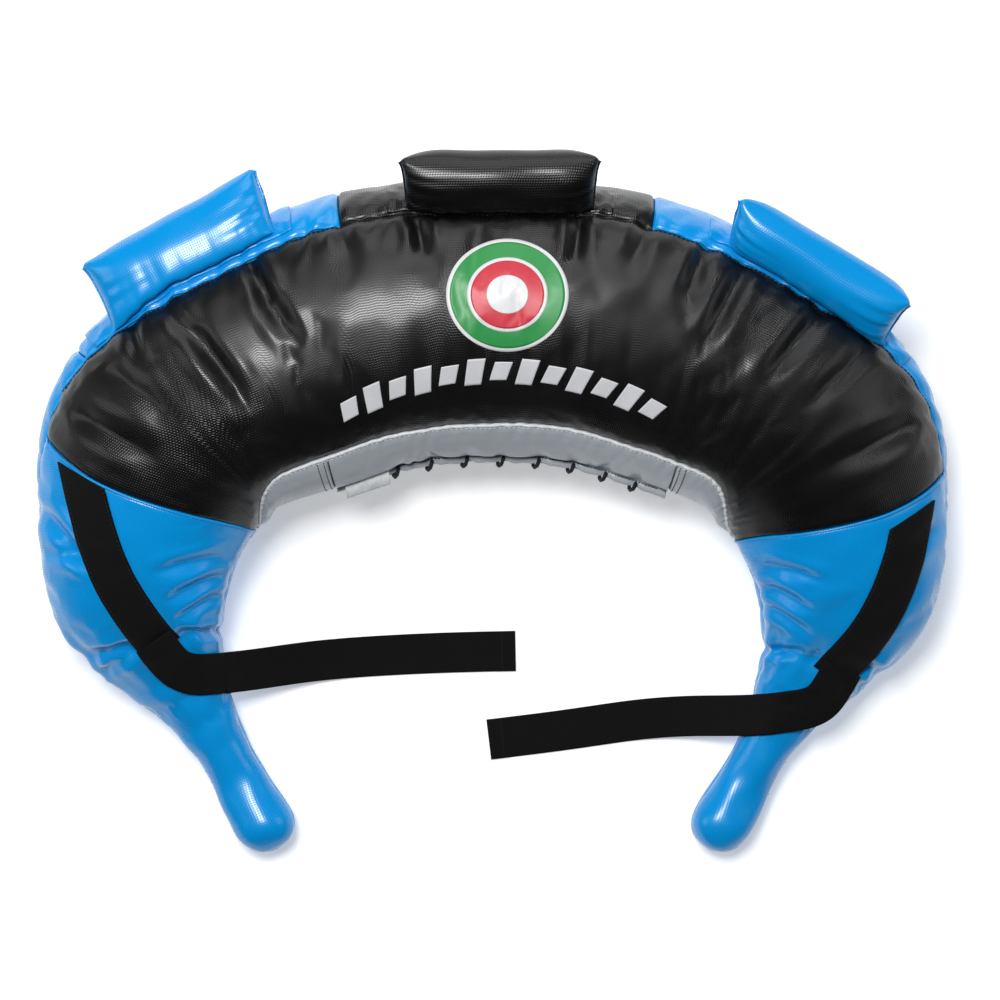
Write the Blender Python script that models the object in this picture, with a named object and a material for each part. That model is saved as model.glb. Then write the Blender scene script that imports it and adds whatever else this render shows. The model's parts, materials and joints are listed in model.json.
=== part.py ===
"""A crescent-shaped weight training bag, lying flat on its back.

The bag is a stuffed tube bent into a C. Its skin is sewn from flat panels of coated fabric: front and back
panels, an outer gusset that carries three padded handles, and an inner band with a laced closure. Sand bags fill
the tube. The two ends narrow to padded grips, and a webbing strap is sewn down each horn and ends in a free tail.

+Z is up, +Y runs from the grips to the middle handle, +X is to the right. All lengths are in metres.
"""

import math

import bmesh
import bpy
import numpy as np
from mathutils import Matrix, Vector

# ---------------------------------------------------------------- driving dimensions

# The bag's outline in plan, one row per station from the middle of the arc to the end of one grip: a point of the
# outer edge, the point of the inner edge across from it, and the height above the floor there.
STATIONS = np.array([
    (0.000, 0.234, 0.000, 0.041, 0.150),
    (0.070, 0.2325, 0.058, 0.036, 0.150),
    (0.132, 0.219, 0.102, 0.023, 0.149),
    (0.190, 0.195, 0.135, 0.0115, 0.148),
    (0.245, 0.163, 0.154, 0.002, 0.145),
    (0.294, 0.120, 0.1625, -0.005, 0.140),
    (0.320, 0.074, 0.1685, -0.012, 0.134),
    (0.3275, 0.025, 0.177, -0.023, 0.127),
    (0.327, -0.025, 0.187, -0.043, 0.118),
    (0.322, -0.068, 0.194, -0.064, 0.106),
    (0.303, -0.105, 0.197, -0.086, 0.088),
    (0.273, -0.132, 0.197, -0.108, 0.067),
    (0.239, -0.160, 0.191, -0.139, 0.050),
    (0.215, -0.190, 0.179, -0.173, 0.041),
    (0.201, -0.218, 0.161, -0.203, 0.039),
    (0.191, -0.240, 0.1475, -0.224, 0.043),
    (0.182, -0.259, 0.139, -0.243, 0.043),
])
GRIP_ROUNDING_START = 0.560  # distance along the centreline; the end of a grip rounds off from here
GRIP_END = 0.587
ROUNDING_POWER = 2.6
SECTION_POWER = 2.2  # 2 is an ellipse, and more is squarer
BASE_SINK = 0.94  # the section's middle height over its half height: under 1 flattens the base

SKIN = 0.0010  # coated fabric
WEBBING = 0.0016
STRAP_WIDTH = 0.030
SEAM_GAP = 0.0009
FILL_INSET = 0.009  # skin to filling
MOVING_GAP = 0.008  # between a grip and the horn, each side of the place where it flexes

SIDES = {"left": -1, "right": 1}
COLOUR_SEAM = {"left": 0.288, "right": 0.306}  # where the black panels end and the blue ones start
PINCH = {"left": 0.412, "right": 0.428}  # where the strap's stitching pinches the neck
GUSSET_SEAM = {"left": 0.100, "right": 0.105}  # middle gusset to side gusset
GUSSET_LOWER_SEAM = 0.252
GUSSET_ANGLE = math.radians(36)
GUSSET_TAPER = 0.200  # the gusset narrows from here to its end
GUSSET_END = 0.364
BAND_ANGLE = math.radians(36)
BAND_TAPER = 0.180
BAND_END = {"left": 0.304, "right": 0.322}
END_WIDTH_SHARE = 0.06  # width left where a gusset or band ends, over its full width
CLOSURE = {"left": 0.134, "right": 0.153}
ROW_PITCH = 0.022

LIP_HEIGHT = 0.0075
LIP_GAP = 0.0004
LACE_RADIUS = 0.0015
LACE_HOLE_RADIUS = 0.0022
LACE_HOLE_HEIGHT = 0.0040
TAB_RANGE = (-0.125, -0.084)
LACE_HOLES = np.linspace(-0.076, 0.121, 8)

HANDLE_PLACES = {"left": -0.187, "centre": 0.005, "right": 0.197}
HANDLE_TILTS = {"left": math.radians(21), "centre": math.radians(29), "right": math.radians(29)}
HANDLE_LEANS = {"left": 0.0, "centre": math.radians(24), "right": math.radians(30)}  # towards the front panel
HANDLE_LENGTH = 0.142
HANDLE_RADIUS = 0.016
HANDLE_STANDOFF = 0.018  # pivot to the middle of the roll
HANDLE_WEB_START = 0.002  # pivot to the edge of the web that joins the roll to its base
HANDLE_WEB_HALF_THICKNESS = 0.0008
HANDLE_END_HALF_THICKNESS = 0.0028
HANDLE_SLIT = math.radians(11)
BASE_LIFT = 0.0017  # gusset's outer face to the outer face of the handle's base strip
HANDLE_BASE_ANGLE = math.radians(7)
BASE_SEAM_MARGIN = math.radians(1)  # the base strip stays on the gusset
HANDLE_BASE_HALF_LENGTH = {"left": 0.054, "centre": 0.074, "right": 0.054}
PIVOT_HEIGHT = 0.0018  # the handle rocks about the top of its base strip

SAND_BAGS = 7
SAND_BAG_GAP = 0.003

COLOURS = {
    "black_vinyl": ((0.010, 0.010, 0.011), 0.28),
    "blue_vinyl": ((0.002, 0.240, 0.620), 0.28),
    "grey_vinyl": ((0.380, 0.410, 0.440), 0.40),
    "black_webbing": ((0.006, 0.006, 0.006), 0.85),
    "black_cord": ((0.008, 0.008, 0.008), 0.80),
    "white_tape": ((0.720, 0.730, 0.730), 0.85),
    "foam": ((0.420, 0.400, 0.360), 0.95),
    "stuffing": ((0.600, 0.560, 0.480), 0.95),
    "sand_canvas": ((0.480, 0.400, 0.280), 0.95),
}

# Middle line of each strap in plan: x outwards to its side, y. The first points are sewn down the horn.
STRAP_RUNS = {
    "left": ((0.290, 0.024), (0.281, -0.012), (0.270, -0.045), (0.256, -0.072), (0.240, -0.096)),
    "right": ((0.297, -0.004), (0.290, -0.038), (0.279, -0.069), (0.264, -0.096), (0.250, -0.114)),
}
STRAP_WRAPS = {
    "left": ((0.2380, -0.101), (0.2340, -0.108), (0.2275, -0.1148), (0.2180, -0.1192), (0.2050, -0.1200)),
    "right": ((0.2462, -0.1245), (0.2440, -0.132), (0.2390, -0.1390), (0.2310, -0.1440), (0.2180, -0.1470)),
}
STRAP_TAILS = {
    "left": ((0.2050, -0.120), (0.180, -0.1185), (0.140, -0.1140), (0.098, -0.1105), (0.040, -0.1075),
             (-0.017, -0.106)),
    "right": ((0.2180, -0.147), (0.190, -0.1510), (0.150, -0.1535), (0.110, -0.1570), (0.060, -0.1640),
              (-0.003, -0.172)),
}
STRAP_SAG = 0.00030  # how far a free stretch drops per step of its route
STRAP_STEP = 0.008
STRAP_CLEARANCE = 0.0026  # bag's smooth surface to the middle of the webbing
STRAP_HINGE_GAP = 0.002

# ---------------------------------------------------------------- small helpers

materials = {}


def clear_scene():
    for old in list(bpy.data.objects):
        bpy.data.objects.remove(old)


def material(name):
    """A Principled BSDF of that name, made once."""
    if name not in materials:
        colour, roughness = COLOURS[name]
        made = bpy.data.materials.new(name)
        made.use_nodes = True
        shader = made.node_tree.nodes["Principled BSDF"]
        shader.inputs["Base Color"].default_value = (*colour, 1)
        shader.inputs["Roughness"].default_value = roughness
        shader.inputs["Metallic"].default_value = 0
        materials[name] = made
    return materials[name]


def add_object(name, data, finish):
    obj = bpy.data.objects.new(name, data)
    bpy.context.scene.collection.objects.link(obj)
    data.materials.append(material(finish))
    return obj


def put_origin(obj, place):
    """Moves an object's origin to a point of its joint's axis, and leaves the shape where it is."""
    place = Vector(place)
    obj.data.transform(Matrix.Translation(-place))
    obj.location = place


def spline(knots, values):
    """The natural cubic through the points, as a function of distance."""
    n = len(knots)
    gaps = np.diff(knots)
    slopes = np.diff(values) / gaps
    matrix = np.eye(n)
    right = np.zeros(n)
    for i in range(1, n - 1):
        matrix[i, i - 1 : i + 2] = gaps[i - 1], 2 * (gaps[i - 1] + gaps[i]), gaps[i]
        right[i] = 6 * (slopes[i] - slopes[i - 1])
    bend = np.linalg.solve(matrix, right)

    def curve(at):
        i = int(np.clip(np.searchsorted(knots, at) - 1, 0, n - 2))
        a, b, h = knots[i + 1] - at, at - knots[i], gaps[i]
        return (
            (bend[i] * a**3 + bend[i + 1] * b**3) / (6 * h)
            + (values[i] / h - bend[i] * h / 6) * a
            + (values[i + 1] / h - bend[i + 1] * h / 6) * b
        )

    return curve


middles = (STATIONS[:, 0:2] + STATIONS[:, 2:4]) / 2
station_distances = np.concatenate([[0], np.cumsum(np.linalg.norm(np.diff(middles, axis=0), axis=1))])


def mirrored_spline(column, odd=False):
    """A spline of one column of STATIONS over both sides of the middle."""
    knots = np.concatenate([-station_distances[:0:-1], station_distances])
    values = np.concatenate([STATIONS[:0:-1, column] * (-1 if odd else 1), STATIONS[:, column]])
    return spline(knots, values)


outer_x = mirrored_spline(0, odd=True)
outer_y = mirrored_spline(1)
inner_x = mirrored_spline(2, odd=True)
inner_y = mirrored_spline(3)
full_height = mirrored_spline(4)


def smooth_step(low, high, value):
    share = min(1.0, max(0.0, (value - low) / (high - low)))
    return share * share * (3 - 2 * share)


# ---------------------------------------------------------------- the tube's surface


def outer_edge(s):
    return Vector((outer_x(s), outer_y(s), 0))


def inner_edge(s):
    return Vector((inner_x(s), inner_y(s), 0))


def centre(s):
    return (outer_edge(s) + inner_edge(s)) / 2


def half_width(s):
    return (outer_edge(s) - inner_edge(s)).length / 2


def outward(s):
    """Horizontal direction across the tube, from its inner edge to its outer edge."""
    return (outer_edge(s) - inner_edge(s)).normalized()


def mid_height(s):
    return BASE_SINK * full_height(s) / (1 + BASE_SINK)


def end_rounding(s):
    share = (abs(s) - GRIP_ROUNDING_START) / (GRIP_END - GRIP_ROUNDING_START)
    share = min(1.0, max(0.0, share))
    return (1 - share**ROUNDING_POWER) ** (1 / ROUNDING_POWER)


def signed_power(value, power):
    return math.copysign(abs(value) ** power, value)


def section(s, angle, inset=0.0):
    """Point of the tube's section: angle 0 is the outside of the arc, 90 degrees the top, 180 the inside."""
    wide = max(0.0, half_width(s) * end_rounding(s) - inset)
    high = max(0.0, full_height(s) / (1 + BASE_SINK) * end_rounding(s) - inset)
    out = wide * signed_power(math.cos(angle), 2 / SECTION_POWER)
    up = high * signed_power(math.sin(angle), 2 / SECTION_POWER)
    point = centre(s) + outward(s) * out
    point.z = max(mid_height(s) + up, inset)
    return point


def tapered(full, taper, end, s):
    """A seam angle that narrows towards the end of its strip, and is nothing past it."""
    if abs(s) > end:
        return 0.0
    return full * (1 - (1 - END_WIDTH_SHARE) * smooth_step(taper, end, abs(s)))


def gusset_angle(s):
    return tapered(GUSSET_ANGLE, GUSSET_TAPER, GUSSET_END, s)


def band_angle(s):
    return tapered(BAND_ANGLE, BAND_TAPER, BAND_END["right" if s > 0 else "left"], s)


def seam_gap_angle(s):
    return 0.5 * SEAM_GAP / max(0.006, half_width(s) * end_rounding(s))


def seam_lines():
    """Distances at which every panel has a row of points, so that neighbours share their edges' facets."""
    ends = [COLOUR_SEAM, GUSSET_SEAM, BAND_END, CLOSURE]
    lines = [SIDES[side] * end[side] for end in ends for side in SIDES]
    lines += [sign * place for place in (GUSSET_LOWER_SEAM, GUSSET_END) for sign in (-1, 1)]
    count = int(min(PINCH.values()) / ROW_PITCH)
    for k in range(-count, count + 1):
        if min(abs(k * ROW_PITCH - line) for line in lines) > ROW_PITCH / 3:
            lines.append(k * ROW_PITCH)
    return sorted(lines)


LINES = seam_lines()


def rows_between(low, high):
    """The shared rows between two distances, with a row at each end."""
    return [low] + [line for line in LINES if low + 0.001 < line < high - 0.001] + [high]


# ---------------------------------------------------------------- mesh builders


def sheet_object(name, rows, finish, thickness, offset=-1.0):
    """A sheet through a grid of points, given a thickness inwards. Rows that shrink to a point are welded."""
    mesh = bmesh.new()
    grid = [[mesh.verts.new(p) for p in row] for row in rows]
    for a, b in zip(grid, grid[1:]):
        for i in range(len(a) - 1):
            mesh.faces.new((a[i], a[i + 1], b[i + 1], b[i]))
    bmesh.ops.remove_doubles(mesh, verts=mesh.verts, dist=1e-5)
    bmesh.ops.triangulate(mesh, faces=mesh.faces)
    data = bpy.data.meshes.new(name)
    mesh.to_mesh(data)
    mesh.free()
    data.shade_smooth()
    obj = add_object(name, data, finish)
    thick = obj.modifiers.new("thickness", "SOLIDIFY")
    thick.thickness = thickness
    thick.offset = offset
    return obj


def solid_object(name, rings, finish):
    """A closed solid lofted through rings of points, with a flat face at each end."""
    mesh = bmesh.new()
    loops = [[mesh.verts.new(p) for p in ring] for ring in rings]
    for a, b in zip(loops, loops[1:]):
        for i in range(len(a)):
            j = (i + 1) % len(a)
            mesh.faces.new((a[i], a[j], b[j], b[i]))
    mesh.faces.new(list(reversed(loops[0])))
    mesh.faces.new(loops[-1])
    bmesh.ops.recalc_face_normals(mesh, faces=mesh.faces)
    data = bpy.data.meshes.new(name)
    mesh.to_mesh(data)
    mesh.free()
    data.shade_smooth()
    return add_object(name, data, finish)


def panel(name, finish, s_range, angle_range, columns):
    """A skin panel between two distances along the tube and two seam angles, which may change with distance."""
    low, high = s_range
    grid = []
    for s in rows_between(low + SEAM_GAP / 2, high - SEAM_GAP / 2):
        a, b = angle_range(s)
        a, b = a + seam_gap_angle(s), b - seam_gap_angle(s)
        grid.append([section(s, angle) for angle in np.linspace(a, b, columns + 1)])
    return sheet_object(name, grid, finish, SKIN)


def stuffing(name, finish, distances, columns, inset=FILL_INSET):
    """A solid that fills the tube between the first and the last of the distances."""
    rings = []
    for s in distances:
        rings.append([section(s, angle, inset) for angle in np.linspace(0, 2 * math.pi, columns, endpoint=False)])
    return solid_object(name, rings, finish)


def front_angles(s):
    return gusset_angle(s), math.pi - band_angle(s)


def back_angles(s):
    return math.pi + band_angle(s), 2 * math.pi - gusset_angle(s)


def side_range(side, near, far):
    """The stretch from near to far on that side, in rising order."""
    return (near, far) if SIDES[side] > 0 else (-far, -near)


# ---------------------------------------------------------------- skin panels


def make_panels():
    middle = (-COLOUR_SEAM["left"], COLOUR_SEAM["right"])
    panel("front_centre_panel", "black_vinyl", middle, front_angles, 7)
    panel("back_centre_panel", "black_vinyl", middle, back_angles, 7)
    for side in SIDES:
        horn = side_range(side, COLOUR_SEAM[side], PINCH[side] - MOVING_GAP)
        panel(f"front_{side}_panel", "blue_vinyl", horn, front_angles, 7)
        panel(f"back_{side}_panel", "blue_vinyl", horn, back_angles, 7)


def make_outer_gusset():
    def angles(s):
        return -gusset_angle(s), gusset_angle(s)

    middle = (-GUSSET_SEAM["left"], GUSSET_SEAM["right"])
    panel("outer_gusset_centre", "black_vinyl", middle, angles, 4)
    for side in SIDES:
        upper = side_range(side, GUSSET_SEAM[side], GUSSET_LOWER_SEAM)
        lower = side_range(side, GUSSET_LOWER_SEAM, GUSSET_END)
        panel(f"outer_gusset_{side}", "blue_vinyl", upper, angles, 4)
        panel(f"outer_gusset_{side}_end", "blue_vinyl", lower, angles, 4)


def make_inner_band():
    def angles(s):
        return math.pi - band_angle(s), math.pi + band_angle(s)

    for side in SIDES:
        stretch = side_range(side, CLOSURE[side], BAND_END[side])
        panel(f"inner_band_{side}", "grey_vinyl", stretch, angles, 4)


# ---------------------------------------------------------------- laced closure


def lip_point(s, out, up):
    """A point beside the closure: out from the inner band towards the middle of the arc, up from its middle line."""
    point = centre(s) - outward(s) * (half_width(s) + out)
    point.z = mid_height(s) + up
    return point


def make_closure_flaps():
    """Two flaps whose edges turn out into lips that lie against each other."""
    span = rows_between(SEAM_GAP / 2 - CLOSURE["left"], CLOSURE["right"] - SEAM_GAP / 2)
    for name, sign in (("closure_upper_flap", 1), ("closure_lower_flap", -1)):
        grid = []
        for s in span:
            start = band_angle(s) - seam_gap_angle(s)
            row = [section(s, math.pi - sign * a) for a in np.linspace(start, math.radians(5), 4)]
            lip_up = sign * (LIP_GAP / 2 + SKIN)
            row += [lip_point(s, out, lip_up) for out in (0.0008, LIP_HEIGHT)]
            grid.append(row if sign > 0 else row[::-1])
        flap = sheet_object(name, grid, "grey_vinyl", SKIN)
        for cutter in lace_hole_cutters():
            hole = flap.modifiers.new("lace_hole", "BOOLEAN")
            hole.operation = "DIFFERENCE"
            hole.object = cutter


hole_cutters = []


def lace_hole_cutters():
    """Upright cylinders through both lips, made once."""
    if not hole_cutters:
        for i, s in enumerate(LACE_HOLES):
            mesh = bmesh.new()
            bmesh.ops.create_cone(
                mesh, cap_ends=True, segments=6, radius1=LACE_HOLE_RADIUS, radius2=LACE_HOLE_RADIUS, depth=0.012
            )
            data = bpy.data.meshes.new(f"lace_hole_cutter_{i}")
            mesh.to_mesh(data)
            mesh.free()
            cutter = bpy.data.objects.new(data.name, data)
            bpy.context.scene.collection.objects.link(cutter)
            cutter.location = lip_point(s, LACE_HOLE_HEIGHT, 0)
            cutter.hide_render = True
            cutter.display_type = "WIRE"
            hole_cutters.append(cutter)
    return hole_cutters


def make_lace():
    """One cord whipped over the lips: up over their edge, down through each hole, and along below to the next."""
    over_edge = (
        (-0.0042, 0.0050, -0.0042),
        (-0.0040, 0.0086, -0.0034),
        (-0.0030, 0.0098, 0.0000),
        (-0.0014, 0.0086, 0.0034),
        (-0.0003, 0.0058, 0.0042),
        (0.0000, LACE_HOLE_HEIGHT, 0.0022),
        (0.0000, LACE_HOLE_HEIGHT, -0.0022),
        (0.0020, 0.0048, -0.0042),
    )
    places = []
    for s in LACE_HOLES:
        inner_stretch = (lip_point(s + 0.001, 0, 0) - lip_point(s - 0.001, 0, 0)).length / 0.002
        places += [lip_point(s + shift / inner_stretch, out, up) for shift, out, up in over_edge]
    curve = bpy.data.curves.new("closure_lace", "CURVE")
    curve.dimensions = "3D"
    curve.bevel_depth = LACE_RADIUS
    curve.bevel_resolution = 2
    curve.use_fill_caps = True
    path = curve.splines.new("POLY")
    path.points.add(len(places) - 1)
    for point, place in zip(path.points, places):
        point.co = (*place, 1)
    add_object("closure_lace", curve, "black_cord")


def make_closure_tab():
    """The loose end of the tape that backs the closure, folded out at its left end."""
    grid = []
    for s in np.linspace(*TAB_RANGE, 6):
        lift = 0.0010 + 0.0022 * (s - TAB_RANGE[0]) / (TAB_RANGE[1] - TAB_RANGE[0])
        grid.append([lip_point(s, LIP_HEIGHT + 0.0016 + lift * k, 0.0105 - 0.014 * k) for k in np.linspace(0, 1, 4)])
    sheet_object("closure_tab", grid, "white_tape", 0.0012, offset=1.0)


# ---------------------------------------------------------------- handles


def handle_frame(place, tilt, lean):
    """The pivot under the middle of a handle's roll, and the directions along it, out of it and across it."""
    step = 0.002
    base = section(place, tilt)
    t = (outer_edge(place + step) - outer_edge(place - step)).normalized()
    around = section(place, tilt + step) - section(place, tilt - step)
    n = t.cross(around).normalized()
    if n.dot(outward(place)) < 0:
        n = -n
    pivot = base + n * PIVOT_HEIGHT
    across = n.cross(t) if n.cross(t).z > 0 else t.cross(n)
    n, across = n * math.cos(lean) + across * math.sin(lean), across * math.cos(lean) - n * math.sin(lean)
    return pivot, t, n, across


def handle_point(frame, share, angle, inset=0.0):
    """A point of a handle's roll: share runs from -1 to 1 along it, and its ends flatten as a pillow's do."""
    pivot, t, n, across = frame
    fullness = (1 - abs(share) ** 5) ** 0.5
    thick = HANDLE_END_HALF_THICKNESS + (HANDLE_RADIUS - HANDLE_END_HALF_THICKNESS) * fullness
    out = HANDLE_STANDOFF + (HANDLE_RADIUS - inset) * math.cos(angle)
    return pivot + t * (share * HANDLE_LENGTH / 2) + n * out + across * ((thick - inset) * math.sin(angle))


def make_handle(side, place, finish):
    tilt = HANDLE_TILTS[side]
    frame = handle_frame(place, tilt, HANDLE_LEANS[side])
    pivot, t, n, across = frame
    print(f"handle {side} pivot", np.round(pivot, 5), "axis", np.round(t, 5))
    angles = np.linspace(math.pi - HANDLE_SLIT, HANDLE_SLIT - math.pi, 12)
    cover = []
    for k in (-1.0, -0.96, -0.88, -0.6, 0.0, 0.6, 0.88, 0.96, 1.0):
        foot = pivot + t * (k * HANDLE_LENGTH / 2) + n * HANDLE_WEB_START
        web = across * HANDLE_WEB_HALF_THICKNESS
        cover.append([foot + web] + [handle_point(frame, k, a) for a in angles] + [foot - web])
    put_origin(sheet_object(f"handle_{side}_cover", cover, finish, SKIN, offset=1.0), pivot)
    core = []
    for k in np.linspace(-0.86, 0.86, 7):
        core.append([handle_point(frame, k, a, inset=0.0022) for a in np.linspace(0, 2 * math.pi, 12, endpoint=False)])
    put_origin(solid_object(f"handle_{side}_core", core, "foam"), pivot)
    half = HANDLE_BASE_HALF_LENGTH[side]
    base = []
    for s in rows_between(place - half, place + half):
        upper = min(tilt + HANDLE_BASE_ANGLE, gusset_angle(s) - BASE_SEAM_MARGIN)
        width = np.linspace(tilt - HANDLE_BASE_ANGLE, upper, 4)
        base.append([section(s, a, inset=-BASE_LIFT) for a in width])
    sheet_object(f"handle_{side}_base", base, finish, SKIN)


def make_handles():
    for side, place in HANDLE_PLACES.items():
        make_handle(side, place, "black_vinyl" if side == "centre" else "blue_vinyl")


# ---------------------------------------------------------------- straps


rulings = [(s, centre(s), outward(s)) for s in np.linspace(-GRIP_END, GRIP_END, 1200)]


def skin_top(x, y):
    """Height of the bag's upper surface over a place on the floor, or 0 beside the bag."""
    place = Vector((x, y, 0))

    def off_line(ruling):
        _, middle, out = ruling
        away = place - middle
        return (away - out * away.dot(out)).length_squared if away.length < 0.11 else 1.0

    s, middle, out = min(rulings, key=off_line)
    share = abs((place - middle).dot(out)) / max(1e-6, half_width(s) * end_rounding(s))
    if share >= 1 or abs(s) > GRIP_END - 0.001:
        return 0.0
    high = full_height(s) / (1 + BASE_SINK) * end_rounding(s)
    return mid_height(s) + high * (1 - share**SECTION_POWER) ** (1 / SECTION_POWER)


def strap_plan(side, points, step):
    """A smooth plan line through the points, as places evenly spaced about step apart, with their directions."""
    sign = SIDES[side]
    given = np.array([(sign * x, y) for x, y in points])
    reach = np.concatenate([[0], np.cumsum(np.linalg.norm(np.diff(given, axis=0), axis=1))])
    line_x, line_y = spline(reach, given[:, 0]), spline(reach, given[:, 1])
    count = max(3, round(reach[-1] / step))
    places = [np.array((line_x(d), line_y(d))) for d in np.linspace(0, reach[-1], count + 1)]
    headings = []
    for d in np.linspace(0, reach[-1], count + 1):
        ahead = np.array((line_x(d + 1e-4) - line_x(d - 1e-4), line_y(d + 1e-4) - line_y(d - 1e-4)))
        headings.append(ahead / np.linalg.norm(ahead))
    return places, headings


def ribbon(places, headings, columns=5):
    """Plan places of a strap's columns: rows along the strap, columns across it."""
    across = np.linspace(-0.5, 0.5, columns) * STRAP_WIDTH
    return [[place + q * np.array((-h[1], h[0])) for q in across] for place, h in zip(places, headings)]


def laid_heights(plan, passes=4000):
    """Heights of a strap that lies on the bag, bridges down from it and comes to rest on the floor."""
    below = np.array([[skin_top(*p) for p in row] for row in plan])
    floor = np.where(below > 0, below + STRAP_CLEARANCE, WEBBING / 2)
    heights = floor.copy()
    for _ in range(passes):
        middle = (heights[:-2] + heights[2:]) / 2 - STRAP_SAG
        heights[1:-1] = np.maximum(floor[1:-1], middle)
        heights[-1] = floor[-1]
    level = heights.mean(axis=1, keepdims=True)
    return np.maximum(heights, np.where(below > 0, floor, 0.35 * heights + 0.65 * level))


def strap_sheet(name, plan, heights):
    rows = [[Vector((p[0], p[1], z)) for p, z in zip(r, h)] for r, h in zip(plan, heights)]
    return sheet_object(name, rows, "black_webbing", WEBBING, offset=0.0)


def make_strap(side):
    plan = ribbon(*strap_plan(side, STRAP_RUNS[side], STRAP_STEP * 1.5))
    heights = np.array([[skin_top(*p) + STRAP_CLEARANCE for p in row] for row in plan])
    strap_sheet(f"strap_{side}_run", plan, heights)

    wrap_places, wrap_headings = strap_plan(side, STRAP_WRAPS[side], STRAP_STEP * 0.8)
    tail_places, tail_headings = strap_plan(side, STRAP_TAILS[side], STRAP_STEP * 1.2)
    plan = ribbon(wrap_places + tail_places[1:], wrap_headings + tail_headings[1:])
    heights = laid_heights(plan)
    hinge = len(wrap_places) - 1
    heights[hinge] = np.linspace(heights[hinge][0], heights[hinge][-1], len(plan[hinge])) + 0.0006
    wrap = strap_sheet(f"strap_{side}_wrap", plan[: hinge + 1], heights[: hinge + 1])
    put_origin(wrap, grip_pivot(side))
    tail_plan, tail_heights = [list(row) for row in plan[hinge:]], heights[hinge:].copy()
    share = STRAP_HINGE_GAP / np.linalg.norm(tail_plan[1][0] - tail_plan[0][0])
    tail_plan[0] = [p + share * (q - p) for p, q in zip(tail_plan[0], tail_plan[1])]
    tail_heights[0] += share * (tail_heights[1] - tail_heights[0])
    tail = strap_sheet(f"strap_{side}_tail", tail_plan, tail_heights)
    ends = [np.array((*plan[hinge][i], heights[hinge][i])) for i in (0, -1)]
    middle = (ends[0] + ends[1]) / 2 + np.array((*tail_headings[0], 0)) * STRAP_HINGE_GAP / 2
    put_origin(tail, middle)
    print(f"strap {side} pivot", middle.round(5), "axis", ((ends[1] - ends[0]) / STRAP_WIDTH).round(4))


# ---------------------------------------------------------------- grips and filling


def grip_pivot(side):
    """The middle of the neck, where a grip flexes."""
    place = centre(SIDES[side] * PINCH[side])
    place.z = mid_height(PINCH[side])
    return place


def make_grip(side):
    pivot = grip_pivot(side)
    print(f"grip {side} pivot", np.round(pivot, 5))
    start = PINCH[side] + MOVING_GAP
    distances = list(np.linspace(start, GRIP_ROUNDING_START, 9))
    distances += [GRIP_ROUNDING_START + k * (GRIP_END - GRIP_ROUNDING_START) for k in (0.4, 0.7, 0.9, 0.98, 0.9995)]
    sign = SIDES[side]
    distances = sorted(sign * d for d in distances)
    for face, low, high in (("front", 0, math.pi), ("back", math.pi, 2 * math.pi)):
        grid = []
        for s in distances:
            gap = seam_gap_angle(s)
            grid.append([section(s, a) for a in np.linspace(low + gap, high - gap, 9)])
        put_origin(sheet_object(f"grip_{side}_{face}_panel", grid, "blue_vinyl", SKIN), pivot)
    near, far = side_range(side, start + 0.004, GRIP_END - 0.006)
    put_origin(stuffing(f"grip_{side}_core", "stuffing", np.linspace(near, far, 11), 12, inset=0.0026), pivot)


def make_neck_tie(side):
    """The drawcord that closes the filling's end inside the neck."""
    s = SIDES[side] * (PINCH[side] - MOVING_GAP - 0.004)
    ring = [section(s, a, inset=0.0052) for a in np.linspace(0, 2 * math.pi, 20, endpoint=False)]
    curve = bpy.data.curves.new(f"neck_tie_{side}", "CURVE")
    curve.dimensions = "3D"
    curve.bevel_depth = 0.0018
    curve.bevel_resolution = 1
    path = curve.splines.new("POLY")
    path.points.add(len(ring) - 1)
    for point, place in zip(path.points, ring):
        point.co = (*place, 1)
    path.use_cyclic_u = True
    add_object(f"neck_tie_{side}", curve, "black_cord")


def make_filling():
    edges = np.linspace(-COLOUR_SEAM["left"], COLOUR_SEAM["right"], SAND_BAGS + 1)
    for i in range(SAND_BAGS):
        low, high = edges[i] + SAND_BAG_GAP / 2, edges[i + 1] - SAND_BAG_GAP / 2
        stuffing(f"sand_bag_{i + 1}", "sand_canvas", rows_between(low, high), 16)
    for side in SIDES:
        near, far = side_range(side, COLOUR_SEAM[side] + SAND_BAG_GAP, PINCH[side] - MOVING_GAP - 0.009)
        stuffing(f"horn_stuffing_{side}", "stuffing", rows_between(near, far), 16, FILL_INSET + 0.001)


def main():
    clear_scene()
    make_panels()
    make_outer_gusset()
    make_inner_band()
    make_closure_flaps()
    make_lace()
    make_closure_tab()
    make_handles()
    for side in SIDES:
        make_strap(side)
        make_grip(side)
        make_neck_tie(side)
    make_filling()


main()
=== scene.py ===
# %% [markdown]
# # A crescent weight bag
# The bag is a tube of coated fabric, bent into a crescent and packed with sand. It lies flat on its back.
# This lesson builds its looks around the bare frame that the CAD model gives: puckered skin panels,
# pillow-like handles, a laced closure and webbing straps. Everything is in metres, with +Z up and +Y from
# the grips to the middle handle.

# %% Set up
import json
import math

import bpy
import numpy as np
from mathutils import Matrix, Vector
from mathutils.bvhtree import BVHTree


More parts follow.
